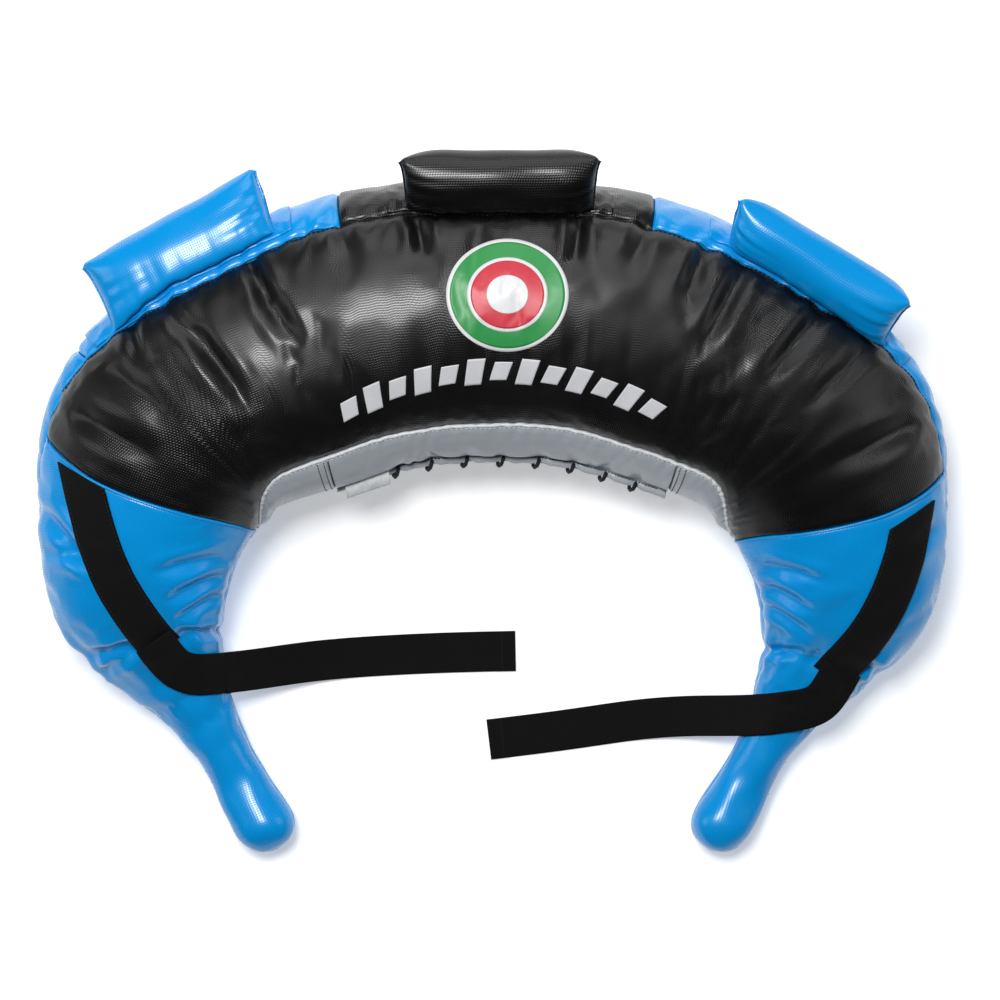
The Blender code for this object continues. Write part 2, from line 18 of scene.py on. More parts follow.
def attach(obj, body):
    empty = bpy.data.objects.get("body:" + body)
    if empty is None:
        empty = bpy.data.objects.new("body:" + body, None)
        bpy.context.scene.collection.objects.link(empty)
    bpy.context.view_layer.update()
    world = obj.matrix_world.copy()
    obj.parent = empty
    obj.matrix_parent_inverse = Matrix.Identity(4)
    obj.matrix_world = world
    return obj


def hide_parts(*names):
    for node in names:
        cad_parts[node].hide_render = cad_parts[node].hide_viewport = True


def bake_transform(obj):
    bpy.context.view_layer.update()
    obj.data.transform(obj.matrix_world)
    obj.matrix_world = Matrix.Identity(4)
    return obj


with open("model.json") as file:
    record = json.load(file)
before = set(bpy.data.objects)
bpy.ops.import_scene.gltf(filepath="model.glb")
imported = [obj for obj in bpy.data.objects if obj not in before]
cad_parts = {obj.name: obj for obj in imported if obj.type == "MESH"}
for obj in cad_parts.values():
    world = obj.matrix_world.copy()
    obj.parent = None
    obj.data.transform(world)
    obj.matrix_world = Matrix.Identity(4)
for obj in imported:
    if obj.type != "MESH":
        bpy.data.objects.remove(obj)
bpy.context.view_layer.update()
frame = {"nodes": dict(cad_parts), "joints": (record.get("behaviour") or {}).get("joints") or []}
MM = 0.001
SIDES = {"left": -1, "right": 1}

# %% [markdown]
# ## Shader maths
# A pattern such as a weave is easier to read as an expression than as a list of nodes. A small class wraps
# a node's output, and each operator adds one Math node.

# %% Shader helpers
class Value:
    """A number that changes over the surface. Each operator on it adds one Math node."""

    def __init__(self, tree, socket):
        self.tree, self.socket = tree, socket

    def _math(self, operation, *others):
        node = self.tree.nodes.new("ShaderNodeMath")
        node.operation = operation
        for place, value in zip(node.inputs, (self, *others)):
            if isinstance(value, Value):
                self.tree.links.new(value.socket, place)
            else:
                place.default_value = value
        return Value(self.tree, node.outputs[0])

    def __add__(self, other):
        return self._math("ADD", other)

    def __mul__(self, other):
        return self._math("MULTIPLY", other)

    def __sub__(self, other):
        return self._math("SUBTRACT", other)

    def __rsub__(self, other):
        return (self * -1.0) + other

    __radd__, __rmul__ = __add__, __mul__

    def wave(self, period):
        """A sine of this value with the given period, from 0 to 1."""
        return (self * (2 * math.pi / period))._math("SINE") * 0.5 + 0.5

    def clamp(self):
        return self._math("MAXIMUM", 0.0)._math("MINIMUM", 1.0)


class Finish:
    """A new material with its Principled BSDF, and methods that add the nodes which feed it."""

    def __init__(self, name, roughness, **fixed):
        self.material = bpy.data.materials.new(name)
        self.material.use_nodes = True
        self.tree = self.material.node_tree
        self.shader = self.tree.nodes["Principled BSDF"]
        self.shader.inputs["Roughness"].default_value = roughness
        for socket, value in fixed.items():
            self.shader.inputs[socket.replace("_", " ")].default_value = value

    def node(self, kind, settings=None, **values):
        made = self.tree.nodes.new(kind)
        for key, value in (settings or {}).items():
            setattr(made, key, value)
        for key, value in values.items():
            self.feed(made.inputs[key.replace("_", " ")], value)
        return made

    def feed(self, socket, value):
        if isinstance(value, Value):
            self.tree.links.new(value.socket, socket)
        elif isinstance(value, bpy.types.NodeSocket):
            self.tree.links.new(value, socket)
        else:
            socket.default_value = value

    def value(self, socket):
        return Value(self.tree, socket)

    def cloth_place(self):
        """The piece's own UV map, whose unit is one metre of cloth, as two values."""
        uv = self.node("ShaderNodeUVMap", {"uv_map": "cloth"})
        split = self.node("ShaderNodeSeparateXYZ", Vector=uv.outputs[0])
        return uv.outputs[0], self.value(split.outputs[0]), self.value(split.outputs[1])

    def noise(self, place, scale, detail=3.0, roughness=0.55):
        made = self.node("ShaderNodeTexNoise", Vector=place, Scale=scale, Detail=detail,
                         Roughness=roughness)
        return self.value(made.outputs["Fac"])

    def blend_colours(self, share, first, second):
        mix = self.node("ShaderNodeMix", {"data_type": "RGBA"})
        self.feed(mix.inputs["Factor"], share)
        self.feed(mix.inputs[6], (*first, 1))
        self.feed(mix.inputs[7], (*second, 1))
        self.feed(self.shader.inputs["Base Color"], mix.outputs[2])

    def bumps(self, height, depth):
        """Raises the surface by height times depth metres, for shading only."""
        bump = self.node("ShaderNodeBump", Strength=1.0, Distance=depth, Height=height)
        self.feed(self.shader.inputs["Normal"], bump.outputs[0])


# %% [markdown]
# ## Finishes
# The skin is vinyl on a woven scrim. The weave shows through as rows of tiny bumps, which break up the
# highlights. The pattern reads each panel's own UV map, drawn in metres, so that it follows the cloth
# around the bag and keeps one scale everywhere.

# %% Vinyl
WEAVE_PITCH = 1.8 * MM


def vinyl(name, colour, worn, roughness, weave_depth, gloss=0.40, shine=0.34):
    """The weave is the product of two sines across the cloth; a slow noise changes colour and roughness."""
    finish = Finish(name, roughness, Coat_Roughness=0.20, Specular_IOR_Level=shine)
    place, along, across = finish.cloth_place()
    threads = along.wave(WEAVE_PITCH) * across.wave(WEAVE_PITCH)
    patches = finish.noise(place, 9.0)
    scuffs = finish.noise(place, 160.0, 5.0)
    finish.blend_colours((patches * 0.8 + threads * 0.15).clamp(), colour, worn)
    rough = roughness + threads * 0.12 + (patches - 0.5) * 0.14
    finish.feed(finish.shader.inputs["Roughness"], rough.clamp())
    finish.feed(finish.shader.inputs["Coat Weight"], (gloss - threads * gloss).clamp())
    finish.bumps(threads + scuffs * 0.12, weave_depth)
    return finish.material


black_vinyl = vinyl("black vinyl", (0.0012, 0.0012, 0.0014), (0.0026, 0.0027, 0.0030), roughness=0.29,
                    weave_depth=0.16 * MM, gloss=0.22, shine=0.42)
blue_vinyl = vinyl("blue vinyl", (0.000, 0.290, 0.745), (0.000, 0.330, 0.800), roughness=0.24,
                   weave_depth=0.055 * MM)
grey_vinyl = vinyl("grey vinyl", (0.360, 0.395, 0.430), (0.430, 0.465, 0.500), roughness=0.42,
                   weave_depth=0.03 * MM)
# The pale vinyl is the grey vinyl painted lighter: a painted highlight for the band's upper rolled edge.
grey_vinyl_painted_highlight = vinyl("grey vinyl painted highlight", (0.70, 0.72, 0.74), (0.80, 0.82, 0.84), roughness=0.40,
                   weave_depth=0.02 * MM)

# %% [markdown]
# The straps are woven webbing: fine ribs run across the strap, and the threads beside each other shift
# them. Cord, thread and tape are too small to show a weave, so their strands are slanted ridges in object
# space.

# %% Webbing, cord, thread and tape
RIB_PITCH, THREAD_PITCH = 1.1 * MM, 2.2 * MM


def webbing(name, colour, worn):
    """Ribs are sines along the strap, shifted by half a rib on alternate threads across it."""
    finish = Finish(name, 0.78, Specular_IOR_Level=0.16)
    place, along, across = finish.cloth_place()
    shift = across.wave(THREAD_PITCH)
    ribs = (along + shift * (RIB_PITCH / 2)).wave(RIB_PITCH)
    fibres = finish.noise(place, 900.0, 4.0)
    finish.blend_colours((ribs * 0.5 + fibres * 0.5).clamp(), colour, worn)
    finish.feed(finish.shader.inputs["Roughness"], (0.7 + fibres * 0.25).clamp())
    finish.bumps(ribs * 0.8 + shift * 0.4 + fibres * 0.3, 0.16 * MM)
    return finish.material


def yarn(name, colour, worn, pitch):
    """Strands are slanted sine ridges around a cord or stitch, in object space."""
    finish = Finish(name, 0.8)
    place = finish.node("ShaderNodeTexCoord").outputs["Object"]
    split = finish.node("ShaderNodeSeparateXYZ", Vector=place)
    x, y, z = (finish.value(split.outputs[i]) for i in range(3))
    strands = (x + y * 0.6 + z).wave(pitch) * (x - y * 0.4 - z).wave(pitch * 1.1)
    fuzz = finish.noise(place, 1500.0, 3.0)
    finish.blend_colours((strands * 0.6 + fuzz * 0.4).clamp(), colour, worn)
    finish.feed(finish.shader.inputs["Roughness"], (0.65 + fuzz * 0.3).clamp())
    finish.bumps(strands + fuzz * 0.4, 0.12 * MM)
    return finish.material


black_webbing = webbing("black webbing", (0.0012, 0.0012, 0.0012), (0.0062, 0.0061, 0.0060))
black_cord = yarn("black cord", (0.0030, 0.0030, 0.0032), (0.014, 0.014, 0.014), 1.0 * MM)
white_thread = yarn("white thread", (0.62, 0.64, 0.66), (0.86, 0.87, 0.88), 0.6 * MM)
white_tape = yarn("white tape", (0.60, 0.62, 0.63), (0.84, 0.85, 0.85), 1.6 * MM)

# %% [markdown]
# ## The bag's outline
# The whole skin follows one surface. Two splines give the crescent's outer and inner edge on the floor. A
# straight line joins them at each distance along the bag, and a slightly squared ellipse stands on that
# line.

# %% Outline
# Outer edge x and y, inner edge x and y, and height, from the middle of the arc to the end of a grip.
STATIONS = np.array([
    (0.000, 0.234, 0.000, 0.041, 0.150),
    (0.070, 0.2325, 0.058, 0.036, 0.150),
    (0.132, 0.219, 0.102, 0.023, 0.149),
    (0.190, 0.195, 0.135, 0.0115, 0.148),
    (0.245, 0.163, 0.154, 0.002, 0.145),
    (0.294, 0.120, 0.1625, -0.005, 0.140),
    (0.320, 0.074, 0.1685, -0.012, 0.134),
    (0.3275, 0.025, 0.177, -0.023, 0.127),
    (0.327, -0.025, 0.187, -0.043, 0.118),
    (0.322, -0.068, 0.194, -0.064, 0.106),
    (0.303, -0.105, 0.197, -0.086, 0.088),
    (0.273, -0.132, 0.197, -0.108, 0.067),
    (0.239, -0.160, 0.191, -0.139, 0.050),
    (0.215, -0.190, 0.179, -0.173, 0.041),
    (0.201, -0.218, 0.161, -0.203, 0.039),
    (0.191, -0.240, 0.1475, -0.224, 0.043),
    (0.182, -0.259, 0.139, -0.243, 0.043),
])
# Distances below run along the middle line, from the middle of the arc.
ROUNDING_START, GRIP_END, ROUNDING_POWER = 0.560, 0.587, 2.6
SECTION_POWER, BASE_SINK = 2.2, 0.94
COLOUR_SEAM = {"left": 0.288, "right": 0.306}
PINCH = {"left": 0.412, "right": 0.428}
GUSSET_SEAM = {"left": 0.100, "right": 0.105}
GUSSET_END, CLOSURE, BAND_END = 0.364, {"left": 0.134, "right": 0.153}, {"left": 0.304, "right": 0.322}


def natural_spline(knots, values):
    """The natural cubic through the points: on each stretch, two cubics, one for the distance to each end."""
    n, gaps = len(knots), np.diff(knots)
    matrix = np.diag(np.concatenate([[1], 2 * (gaps[:-1] + gaps[1:]), [1]]))
    matrix += np.diag(np.append(gaps[:-1], 0), -1) + np.diag(np.insert(gaps[1:], 0, 0), 1)
    slopes = np.diff(values) / gaps
    bend = np.linalg.solve(matrix, np.concatenate([[0], 6 * np.diff(slopes), [0]]))

    def curve(at):
        i = np.clip(np.searchsorted(knots, at) - 1, 0, n - 2)
        a, b, h = knots[i + 1] - at, at - knots[i], gaps[i]
        ends = (values[i] / h - bend[i] * h / 6) * a + (values[i + 1] / h - bend[i + 1] * h / 6) * b
        return (bend[i] * a**3 + bend[i + 1] * b**3) / (6 * h) + ends

    return curve


middles = (STATIONS[:, :2] + STATIONS[:, 2:4]) / 2
reach = np.concatenate([[0], np.cumsum(np.linalg.norm(np.diff(middles, axis=0), axis=1))])
KNOTS = np.concatenate([-reach[:0:-1], reach])


def both_sides(column, odd):
    """A column of the table as a curve along the whole bag; an odd one changes its sign on the left."""
    left = STATIONS[:0:-1, column] * (-1 if odd else 1)
    return natural_spline(KNOTS, np.concatenate([left, STATIONS[:, column]]))


outer_x, outer_y, inner_x, inner_y, full_height = (both_sides(i, i in (0, 2)) for i in range(5))


def smooth_step(low, high, value):
    share = np.clip((value - low) / (high - low), 0, 1)
    return share * share * (3 - 2 * share)


def grip_share(s):
    """1 before the end of the grip starts to round off, then down to 0 where the skin closes."""
    share = np.clip((np.abs(s) - ROUNDING_START) / (GRIP_END - ROUNDING_START), 0, 1)
    return (1 - share**ROUNDING_POWER) ** (1 / ROUNDING_POWER)


def half_across(s):
    """Half the bag's width in plan."""
    return np.hypot(outer_x(s) - inner_x(s), outer_y(s) - inner_y(s)) / 2


def section(s, angle):
    """Points of the smooth bag: angle 0 is the crescent's outer side, a quarter turn its top, half its inner."""
    s, angle = np.broadcast_arrays(np.asarray(s, float), np.asarray(angle, float))
    outer = np.stack([outer_x(s), outer_y(s)], -1)
    inner = np.stack([inner_x(s), inner_y(s)], -1)
    rounding = grip_share(s)
    out = np.sign(np.cos(angle)) * np.abs(np.cos(angle)) ** (2 / SECTION_POWER) * rounding
    up = np.sign(np.sin(angle)) * np.abs(np.sin(angle)) ** (2 / SECTION_POWER) * rounding
    half_high = full_height(s) / (1 + BASE_SINK)
    plan = (outer + inner) / 2 + (outer - inner) / 2 * out[..., None]
    z = np.maximum(BASE_SINK * half_high + half_high * up, 0)
    return np.concatenate([plan, z[..., None]], -1)


def tapered(full, taper, end, s):
    """The full value up to the taper, nearly nothing at the end, and 0 past it."""
    return np.where(np.abs(s) > end, 0.0, full * (1 - 0.94 * smooth_step(taper, end, np.abs(s))))


def gusset_angle(s):
    """Half the angle that the outer gusset takes around the bag."""
    return tapered(math.radians(43), 0.190, GUSSET_END, s)


def band_angle(s):
    """Half the angle that the inner band takes around the bag."""
    return tapered(math.radians(36), 0.180, np.where(s > 0, BAND_END["right"], BAND_END["left"]), s)


print("the middle line is", round(2 * GRIP_END, 3), "m long")

# %% [markdown]
# ## Puckers and creases
# Sewing gathers the skin, so it puckers: short ripples run away from each seam and fade out. The weight of
# the sand adds a few long creases and deep dents. All of it is one height, worked out from the distance
# along the bag and the angle around it, and added along the surface's normal.

# %% Noise and seams
def wander(waves, low, high, seed):
    """A smooth random function of one number: a sum of sines with random phases and periods, low to high."""
    dice = np.random.default_rng(seed)
    periods, phases = dice.uniform(low, high, waves), dice.uniform(0, 2 * math.pi, waves)
    heights = dice.uniform(0.4, 1.0, waves)

    def curve(at):
        turns = np.asarray(at)[..., None] * 2 * math.pi / periods + phases
        return (np.sin(turns) * heights).sum(-1) / waves**0.5

    return curve


def wander_plane(waves, low, high, seed):
    """A smooth random function of a place: a sum of sine waves with random directions, lengths and phases."""
    dice = np.random.default_rng(seed)
    lengths, turns = dice.uniform(low, high, waves), dice.uniform(0, 2 * math.pi, waves)
    spins, phases = dice.uniform(-1, 1, waves), dice.uniform(0, 2 * math.pi, waves)
    directions = np.stack([np.cos(turns), np.sin(turns), spins], -1) * (2 * math.pi / lengths)[:, None]

    def field(points):
        return np.sin(points @ directions.T + phases).sum(-1) / waves**0.5

    return field


pucker_lines = [wander(9, 0.008, 0.019, seed) for seed in range(4)]
pucker_reach = [wander(5, 0.030, 0.080, 20 + seed) for seed in range(4)]
slow_swell = wander_plane(7, 0.09, 0.20, 40)
small_dents = wander_plane(9, 0.022, 0.05, 41)


def seam_angles(s):
    """The four seams around the bag: gusset to front, front to band, band to back and back to gusset."""
    g, b = gusset_angle(s), band_angle(s)
    return [g, math.pi - b, math.pi + b, 2 * math.pi - g]


# %% Creases
# Each crease is a valley in plan: start x, y, end x, y, half width, depth. They lie on the front of the bag.
CREASES = np.array([
    (-0.170, 0.174, -0.157, 0.147, 0.0050, 0.0060),
    (-0.160, 0.151, -0.138, 0.119, 0.0055, 0.0045),
    (-0.228, 0.141, -0.180, 0.087, 0.0050, 0.0040),
    (-0.206, 0.127, -0.166, 0.064, 0.0060, 0.0045),
    (-0.254, 0.129, -0.246, 0.106, 0.0040, 0.0050),
    (-0.290, 0.066, -0.236, 0.036, 0.0070, 0.0045),
    (-0.268, 0.098, -0.226, 0.066, 0.0060, 0.0026),
    (-0.053, 0.203, -0.047, 0.178, 0.0045, 0.0050),
    (0.061, 0.203, 0.057, 0.172, 0.0045, 0.0050),
    (-0.112, 0.207, -0.098, 0.176, 0.0050, 0.0030),
    (0.112, 0.205, 0.096, 0.170, 0.0050, 0.0034),
    (0.150, 0.186, 0.136, 0.150, 0.0050, 0.0040),
    (0.176, 0.168, 0.150, 0.120, 0.0055, 0.0050),
    (0.232, 0.140, 0.190, 0.090, 0.0055, 0.0040),
    (0.262, 0.112, 0.214, 0.066, 0.0060, 0.0036),
    (0.296, 0.060, 0.236, 0.030, 0.0070, 0.0040),
    (-0.010, 0.196, -0.014, 0.160, 0.0080, 0.0018),
    (-0.312, -0.030, -0.262, -0.040, 0.0045, 0.0030),
    (-0.322, -0.001, -0.280, -0.046, 0.0045, 0.0050),
    (-0.196, -0.034, -0.240, -0.046, 0.0040, 0.0036),
    (-0.196, -0.048, -0.232, -0.066, 0.0033, 0.0036),
    (-0.198, -0.062, -0.226, -0.080, 0.0028, 0.0034),
    (0.196, -0.040, 0.236, -0.052, 0.0040, 0.0036),
    (0.198, -0.056, 0.230, -0.074, 0.0033, 0.0036),
    (0.199, -0.070, 0.226, -0.090, 0.0030, 0.0034),
    (0.316, -0.012, 0.284, -0.040, 0.0050, 0.0032),
    (-0.286, -0.106, -0.250, -0.098, 0.0034, 0.0050),
    (-0.282, -0.118, -0.252, -0.102, 0.0030, 0.0044),
    (-0.196, -0.089, -0.222, -0.089, 0.0030, 0.0042),
    (0.281, -0.118, 0.248, -0.110, 0.0034, 0.0048),
    (0.270, -0.130, 0.246, -0.114, 0.0030, 0.0042),
    (0.198, -0.104, 0.222, -0.104, 0.0030, 0.0040),
])


def crease_depth(points, front):
    """Depth of the creases at some points: a rounded valley across each line, which fades at both ends."""
    depth = np.zeros(points.shape[:-1])
    for x0, y0, x1, y1, wide, deep in CREASES:
        start, run = np.array([x0, y0]), np.array([x1 - x0, y1 - y0])
        length = np.hypot(*run)
        away = points[..., :2] - start
        along = away @ run / length**2
        across = (away[..., 0] * run[1] - away[..., 1] * run[0]) / length
        fade = smooth_step(-0.22, 0.12, along) * (1 - smooth_step(0.5, 1.25, along))
        lips = 0.35 * np.exp(-((np.abs(across) / wide - 2.1) ** 2))
        depth += deep * fade * (np.exp(-np.abs(across / wide) ** 1.5) - lips)
    return depth * front


SWELL, DENT, GRIP_DENT, PUCKER = 1.5 * MM, 0.30 * MM, 0.65 * MM, 1.1 * MM
SEAM_DEPTH, SEAM_RIM, NECK_DEPTH, NECK_FOLD = 3.0 * MM, 1.6 * MM, 3.0 * MM, 1.0 * MM


def relief(s, angle, points):
    """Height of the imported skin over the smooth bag: swells, dents, seam valleys, puckers and creases."""
    half = half_across(s)
    full = smooth_step(0.02, 0.09, half)
    floor = 1 - smooth_step(0.0, 0.025, points[..., 2])
    lift = (SWELL * slow_swell(points) + DENT * small_dents(points)) * full
    lift += GRIP_DENT * small_dents(points) * (1 - full)
    for i, seam in enumerate(seam_angles(s)):
        d = np.abs(angle - seam) * half
        reach_here = 0.017 + 0.007 * pucker_reach[i](s)
        strength = PUCKER * (1 - 0.6 * (i in (1, 2)))
        skew = 0.35 * np.sign(angle - seam) * d
        lift += strength * full * pucker_lines[i](s + skew) * np.exp(-d / np.maximum(reach_here, 0.006))
        lift -= SEAM_DEPTH * (0.25 + 0.75 * full) * np.exp(-((d / 0.0055) ** 1.3))
        lift += SEAM_RIM * full * np.exp(-(((d - 0.022) / 0.014) ** 2))
    for side, sign in SIDES.items():
        neck = s * sign - PINCH[side]
        folds = np.sin(angle * 9 + 1.3 * sign) + 0.6 * np.sin(angle * 16 + 2.0)
        lift -= NECK_DEPTH * np.exp(-((neck / 0.006) ** 2))
        lift += NECK_FOLD * folds * np.exp(-((neck / 0.020) ** 2))
    lift -= crease_depth(points, np.sin(np.clip(angle, 0, math.pi)) ** 0.25)
    return lift * (1 - 0.9 * floor)


def normals_of(points):
    """Unit normals of a grid of points that point out of the bag: the cross product of its two directions."""
    along, around = np.gradient(points, axis=0), np.gradient(points, axis=1)
    cross = np.cross(around, along)
    return cross / np.maximum(np.linalg.norm(cross, axis=-1, keepdims=True), 1e-12)


# %% [markdown]
# ## Let the cloth settle
# A drawn crease looks drawn. So the whole skin goes through a short cloth simulation: it holds at its seams
# and on the floor, the packing presses from inside, and the cloth near the seams is a little longer than
# the space it has, which makes it buckle as gathered vinyl does. Only the move that each point made is
# kept, capped, as a map over the bag that every panel reads.

# %% Cloth
AROUND, ALONG = 176, 400
MOST_MOVE, CLOTH_STEPS = 7.0 * MM, 18
sim_s = np.linspace(-GRIP_END + 0.0004, GRIP_END - 0.0004, ALONG)
sim_angle = np.linspace(0, 2 * math.pi, AROUND, endpoint=False)


def grid_mesh(name, points, closed=False):
    """A mesh of quads through a grid of points, which may close on itself across its second direction."""
    rows, columns = points.shape[:2]
    index = np.arange(rows * columns).reshape(rows, columns)
    if closed:
        index = np.concatenate([index, index[:, :1]], axis=1)
    quads = np.stack([index[:-1, :-1], index[:-1, 1:], index[1:, 1:], index[1:, :-1]], -1)
    mesh = bpy.data.meshes.new(name)
    mesh.from_pydata(points.reshape(-1, 3).tolist(), [], quads.reshape(-1, 4).tolist())
    mesh.shade_smooth()
    return mesh


def weigh(obj, name, weights):
    """A vertex group with those weights, in twelve steps."""
    group = obj.vertex_groups.new(name=name)
    steps = np.round(weights.ravel() * 12).astype(int)
    for step in range(1, 13):
        group.add(np.flatnonzero(steps == step).tolist(), step / 12, "REPLACE")


def press(obj):
    """Cloth settings of packed vinyl: stiff, pressed from inside, held and gathered at the seams."""
    settings = obj.modifiers.new("cloth", "CLOTH").settings
    settings.quality = 5
    settings.mass = 0.35
    settings.tension_stiffness = settings.compression_stiffness = 18
    settings.shear_stiffness = 8
    settings.bending_stiffness = 0.35
    settings.air_damping = 4
    settings.vertex_group_mass = "held"
    settings.pin_stiffness = 12
    settings.use_pressure = True
    settings.uniform_pressure_force = 5
    settings.vertex_group_shrink = "gathered"
    settings.shrink_min, settings.shrink_max = -0.004, -0.055
    settings.effector_weights.gravity = 0


def settled_skin():
    """The skin's grid after a pressed cloth simulation that is held at its seams, and the smooth bag's grid."""
    s, angle = np.meshgrid(sim_s, sim_angle, indexing="ij")
    smooth = section(s, angle)
    start = smooth + normals_of(smooth) * relief(s, angle, smooth)[..., None]
    start[..., 2] = np.maximum(start[..., 2], 0)
    obj = bpy.data.objects.new("skin_cloth", grid_mesh("skin_cloth", start, closed=True))
    bpy.context.scene.collection.objects.link(obj)
    half = half_across(s)
    nearest = np.min([np.abs(angle - seam) * half for seam in seam_angles(s)], axis=0)
    held = np.exp(-((nearest / 0.004) ** 2)) + (start[..., 2] < 0.002) + (np.abs(s) > 0.50)
    held = held + np.exp(-(((np.abs(s) - 0.42) / 0.015) ** 2))
    weigh(obj, "held", np.clip(held, 0, 1))
    weigh(obj, "gathered", np.exp(-nearest / 0.030))
    press(obj)
    scene = bpy.context.scene
    for step in range(1, CLOTH_STEPS + 1):
        scene.frame_set(step)
    evaluated = obj.evaluated_get(bpy.context.evaluated_depsgraph_get())
    settled = np.empty(len(obj.data.vertices) * 3)
    evaluated.data.vertices.foreach_get("co", settled)
    scene.frame_set(1)
    bpy.data.objects.remove(obj)
    move = settled.reshape(start.shape) - start
    size = np.linalg.norm(move, axis=-1, keepdims=True)
    move *= np.minimum(1, MOST_MOVE / np.maximum(size, 1e-9))
    print("the cloth moved by up to", round(float(size.max()) * 1000, 1), "mm")
    return start + move, smooth


settled, smooth_grid = settled_skin()
offset_map = settled - smooth_grid


def cubic_weights(f):
    """Shares of four neighbours in a cubic convolution, for a place f of the way between the middle two."""
    return [((-0.5 * f + 1) * f - 0.5) * f, (1.5 * f - 2.5) * f * f + 1,
            ((-1.5 * f + 2) * f + 0.5) * f, (0.5 * f - 0.5) * f * f]


def sample(grid, s, angle):
    """Reads the map at any distance and angle by cubic convolution, wrapping around the bag."""
    row = np.clip((s - sim_s[0]) / (sim_s[1] - sim_s[0]), 0, ALONG - 1.001)
    column = (angle / (2 * math.pi) * AROUND) % AROUND
    r0, c0 = np.floor(row).astype(int), np.floor(column).astype(int)
    total = 0
    for i, along in zip(range(-1, 3), cubic_weights(row - r0)):
        for j, around in zip(range(-1, 3), cubic_weights(column - c0)):
            near = grid[np.clip(r0 + i, 0, ALONG - 1), (c0 + j) % AROUND]
            total = total + near * (along * around)[..., None]
    return total


def skin_point(s, angle, lift=0.0):
    """Points of the finished skin, raised by lift along the smooth bag's normal."""
    s, angle = np.broadcast_arrays(np.asarray(s, float), np.asarray(angle, float))
    h = 0.0015
    along = section(s + h, angle) - section(s - h, angle)
    around = section(s, angle + h * 8) - section(s, angle - h * 8)
    normal = np.cross(around, along)
    normal = normal / np.maximum(np.linalg.norm(normal, axis=-1, keepdims=True), 1e-12)
    points = section(s, angle) + sample(offset_map, s, angle)
    points = points + normal * np.asarray(lift, float)[..., None]
    points[..., 2] = np.maximum(points[..., 2], 0)
    return points


print("the skin stands up to", round(float(np.abs(offset_map).max()) * 1000, 1), "mm off the smooth bag")

# %% [markdown]
# ## Skin panels
# Each panel is a patch between two distances along the bag and two seam angles. Its rows crowd together at
# the edges, where the cloth rolls down into the seam, so a seam shows as two rounded lips with a dark line
# between them. The walls get their thickness inwards, and a UV map in metres carries the weave.

# %% Panel maker
SEAM_DROP = 2.4 * MM
EDGE_ROWS = np.array([0.0, 0.5, 1.1, 2.0, 3.2]) * MM
GRID_PITCH = 2.3 * MM
skin_pieces = []


def crowded(low, high, length, edge_low=True, edge_high=True):
    """Places from low to high over a length in metres: even ones, and close ones beside each sewn edge."""
    near = EDGE_ROWS[1:] / length
    count = max(4, round(length / GRID_PITCH))
    inside = np.linspace(near[-1] if edge_low else 0, 1 - near[-1] if edge_high else 1, count)
    shares = [inside]
    if edge_low:
        shares.insert(0, np.append(0, near[:-1]))
    if edge_high:
        shares.append(np.append(1 - near[:-1][::-1], 1))
    return low + (high - low) * np.concatenate(shares)


def edge_drop(distance):
    """How far the cloth rolls under beside a sewn edge: deepest at the edge and gone 3 mm away."""
    return -SEAM_DROP * np.clip(1 - distance / EDGE_ROWS[-1], 0, 1) ** 2.2


def walk(points, axis):
    """Length walked along the grid's lines in one direction, from the first line."""
    steps = np.linalg.norm(np.diff(points, axis=axis), axis=-1)
    return np.concatenate([np.zeros_like(np.take(steps, [0], axis)), np.cumsum(steps, axis=axis)], axis=axis)


def finished_object(name, mesh, finish, uv=None):
    """Puts a mesh in the scene with its finish and, where it has one place per point, its UV map named cloth."""
    if uv is not None:
        corners = np.empty(len(mesh.loops), dtype=np.int32)
        mesh.loops.foreach_get("vertex_index", corners)
        mesh.uv_layers.new(name="cloth").data.foreach_set("uv", uv.reshape(-1, 2)[corners].ravel())
    mesh.materials.append(finish)
    made = bpy.data.objects.new(name, mesh)
    bpy.context.scene.collection.objects.link(made)
    return made


def cloth_object(name, points, finish, thickness=1.0 * MM, offset=-1.0, uv=None):
    """An object through a grid of points with a UV map in metres of cloth, and a thickness."""
    uv = np.stack([walk(points, 0), walk(points, 1)], -1) if uv is None else uv
    made = finished_object(name, grid_mesh(name, points), finish, uv)
    if thickness:
        wall = made.modifiers.new("thickness", "SOLIDIFY")
        wall.thickness, wall.offset = thickness, offset
    return made


def patch(s_low, s_high, angles, bow=0.0, sewn=(True, True, True, True), width=None):
    """Grid of skin points. bow moves the far end out on the top; sewn says which edges roll under."""
    middle_s = np.linspace(s_low, s_high, 9)
    low, high = angles(middle_s)
    width = width or max(0.012, float((np.abs(high - low) * half_across(middle_s)).max()))
    length = abs(s_high - s_low)
    rows = crowded(0.0, 1.0, length, sewn[0], sewn[1])[:, None]
    columns = crowded(0.0, 1.0, width, sewn[2], sewn[3])[None, :]
    s = s_low + (s_high - s_low) * rows + 0 * columns
    for _ in range(2):
        a, b = angles(s)
        angle = a + (b - a) * columns
        s = s_low + (s_high - s_low + bow * np.abs(np.sin(angle)) ** 1.5) * rows
    half = half_across(s)
    from_ends = (rows * length + 0 * s, (1 - rows) * length + 0 * s)
    from_edges = (*from_ends, (angle - a) * half, (b - angle) * half)
    drops = [edge_drop(distance) for is_sewn, distance in zip(sewn, from_edges) if is_sewn]
    return skin_point(s, angle, np.minimum.reduce(drops) if drops else 0 * s)


def sewn_panel(name, points, finish, node):
    """Makes a panel of the bag, and lets it stand for its CAD node."""
    made = cloth_object(name, points, finish)
    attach(made, "bag")
    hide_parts(node)
    skin_pieces.append(made)


def front_angles(s):
    return gusset_angle(s), math.pi - band_angle(s)


def back_angles(s):
    return math.pi + band_angle(s), 2 * math.pi - gusset_angle(s)


def gusset_angles(s):
    return -gusset_angle(s), gusset_angle(s)


def band_angles(s):
    return math.pi - band_angle(s), math.pi + band_angle(s)
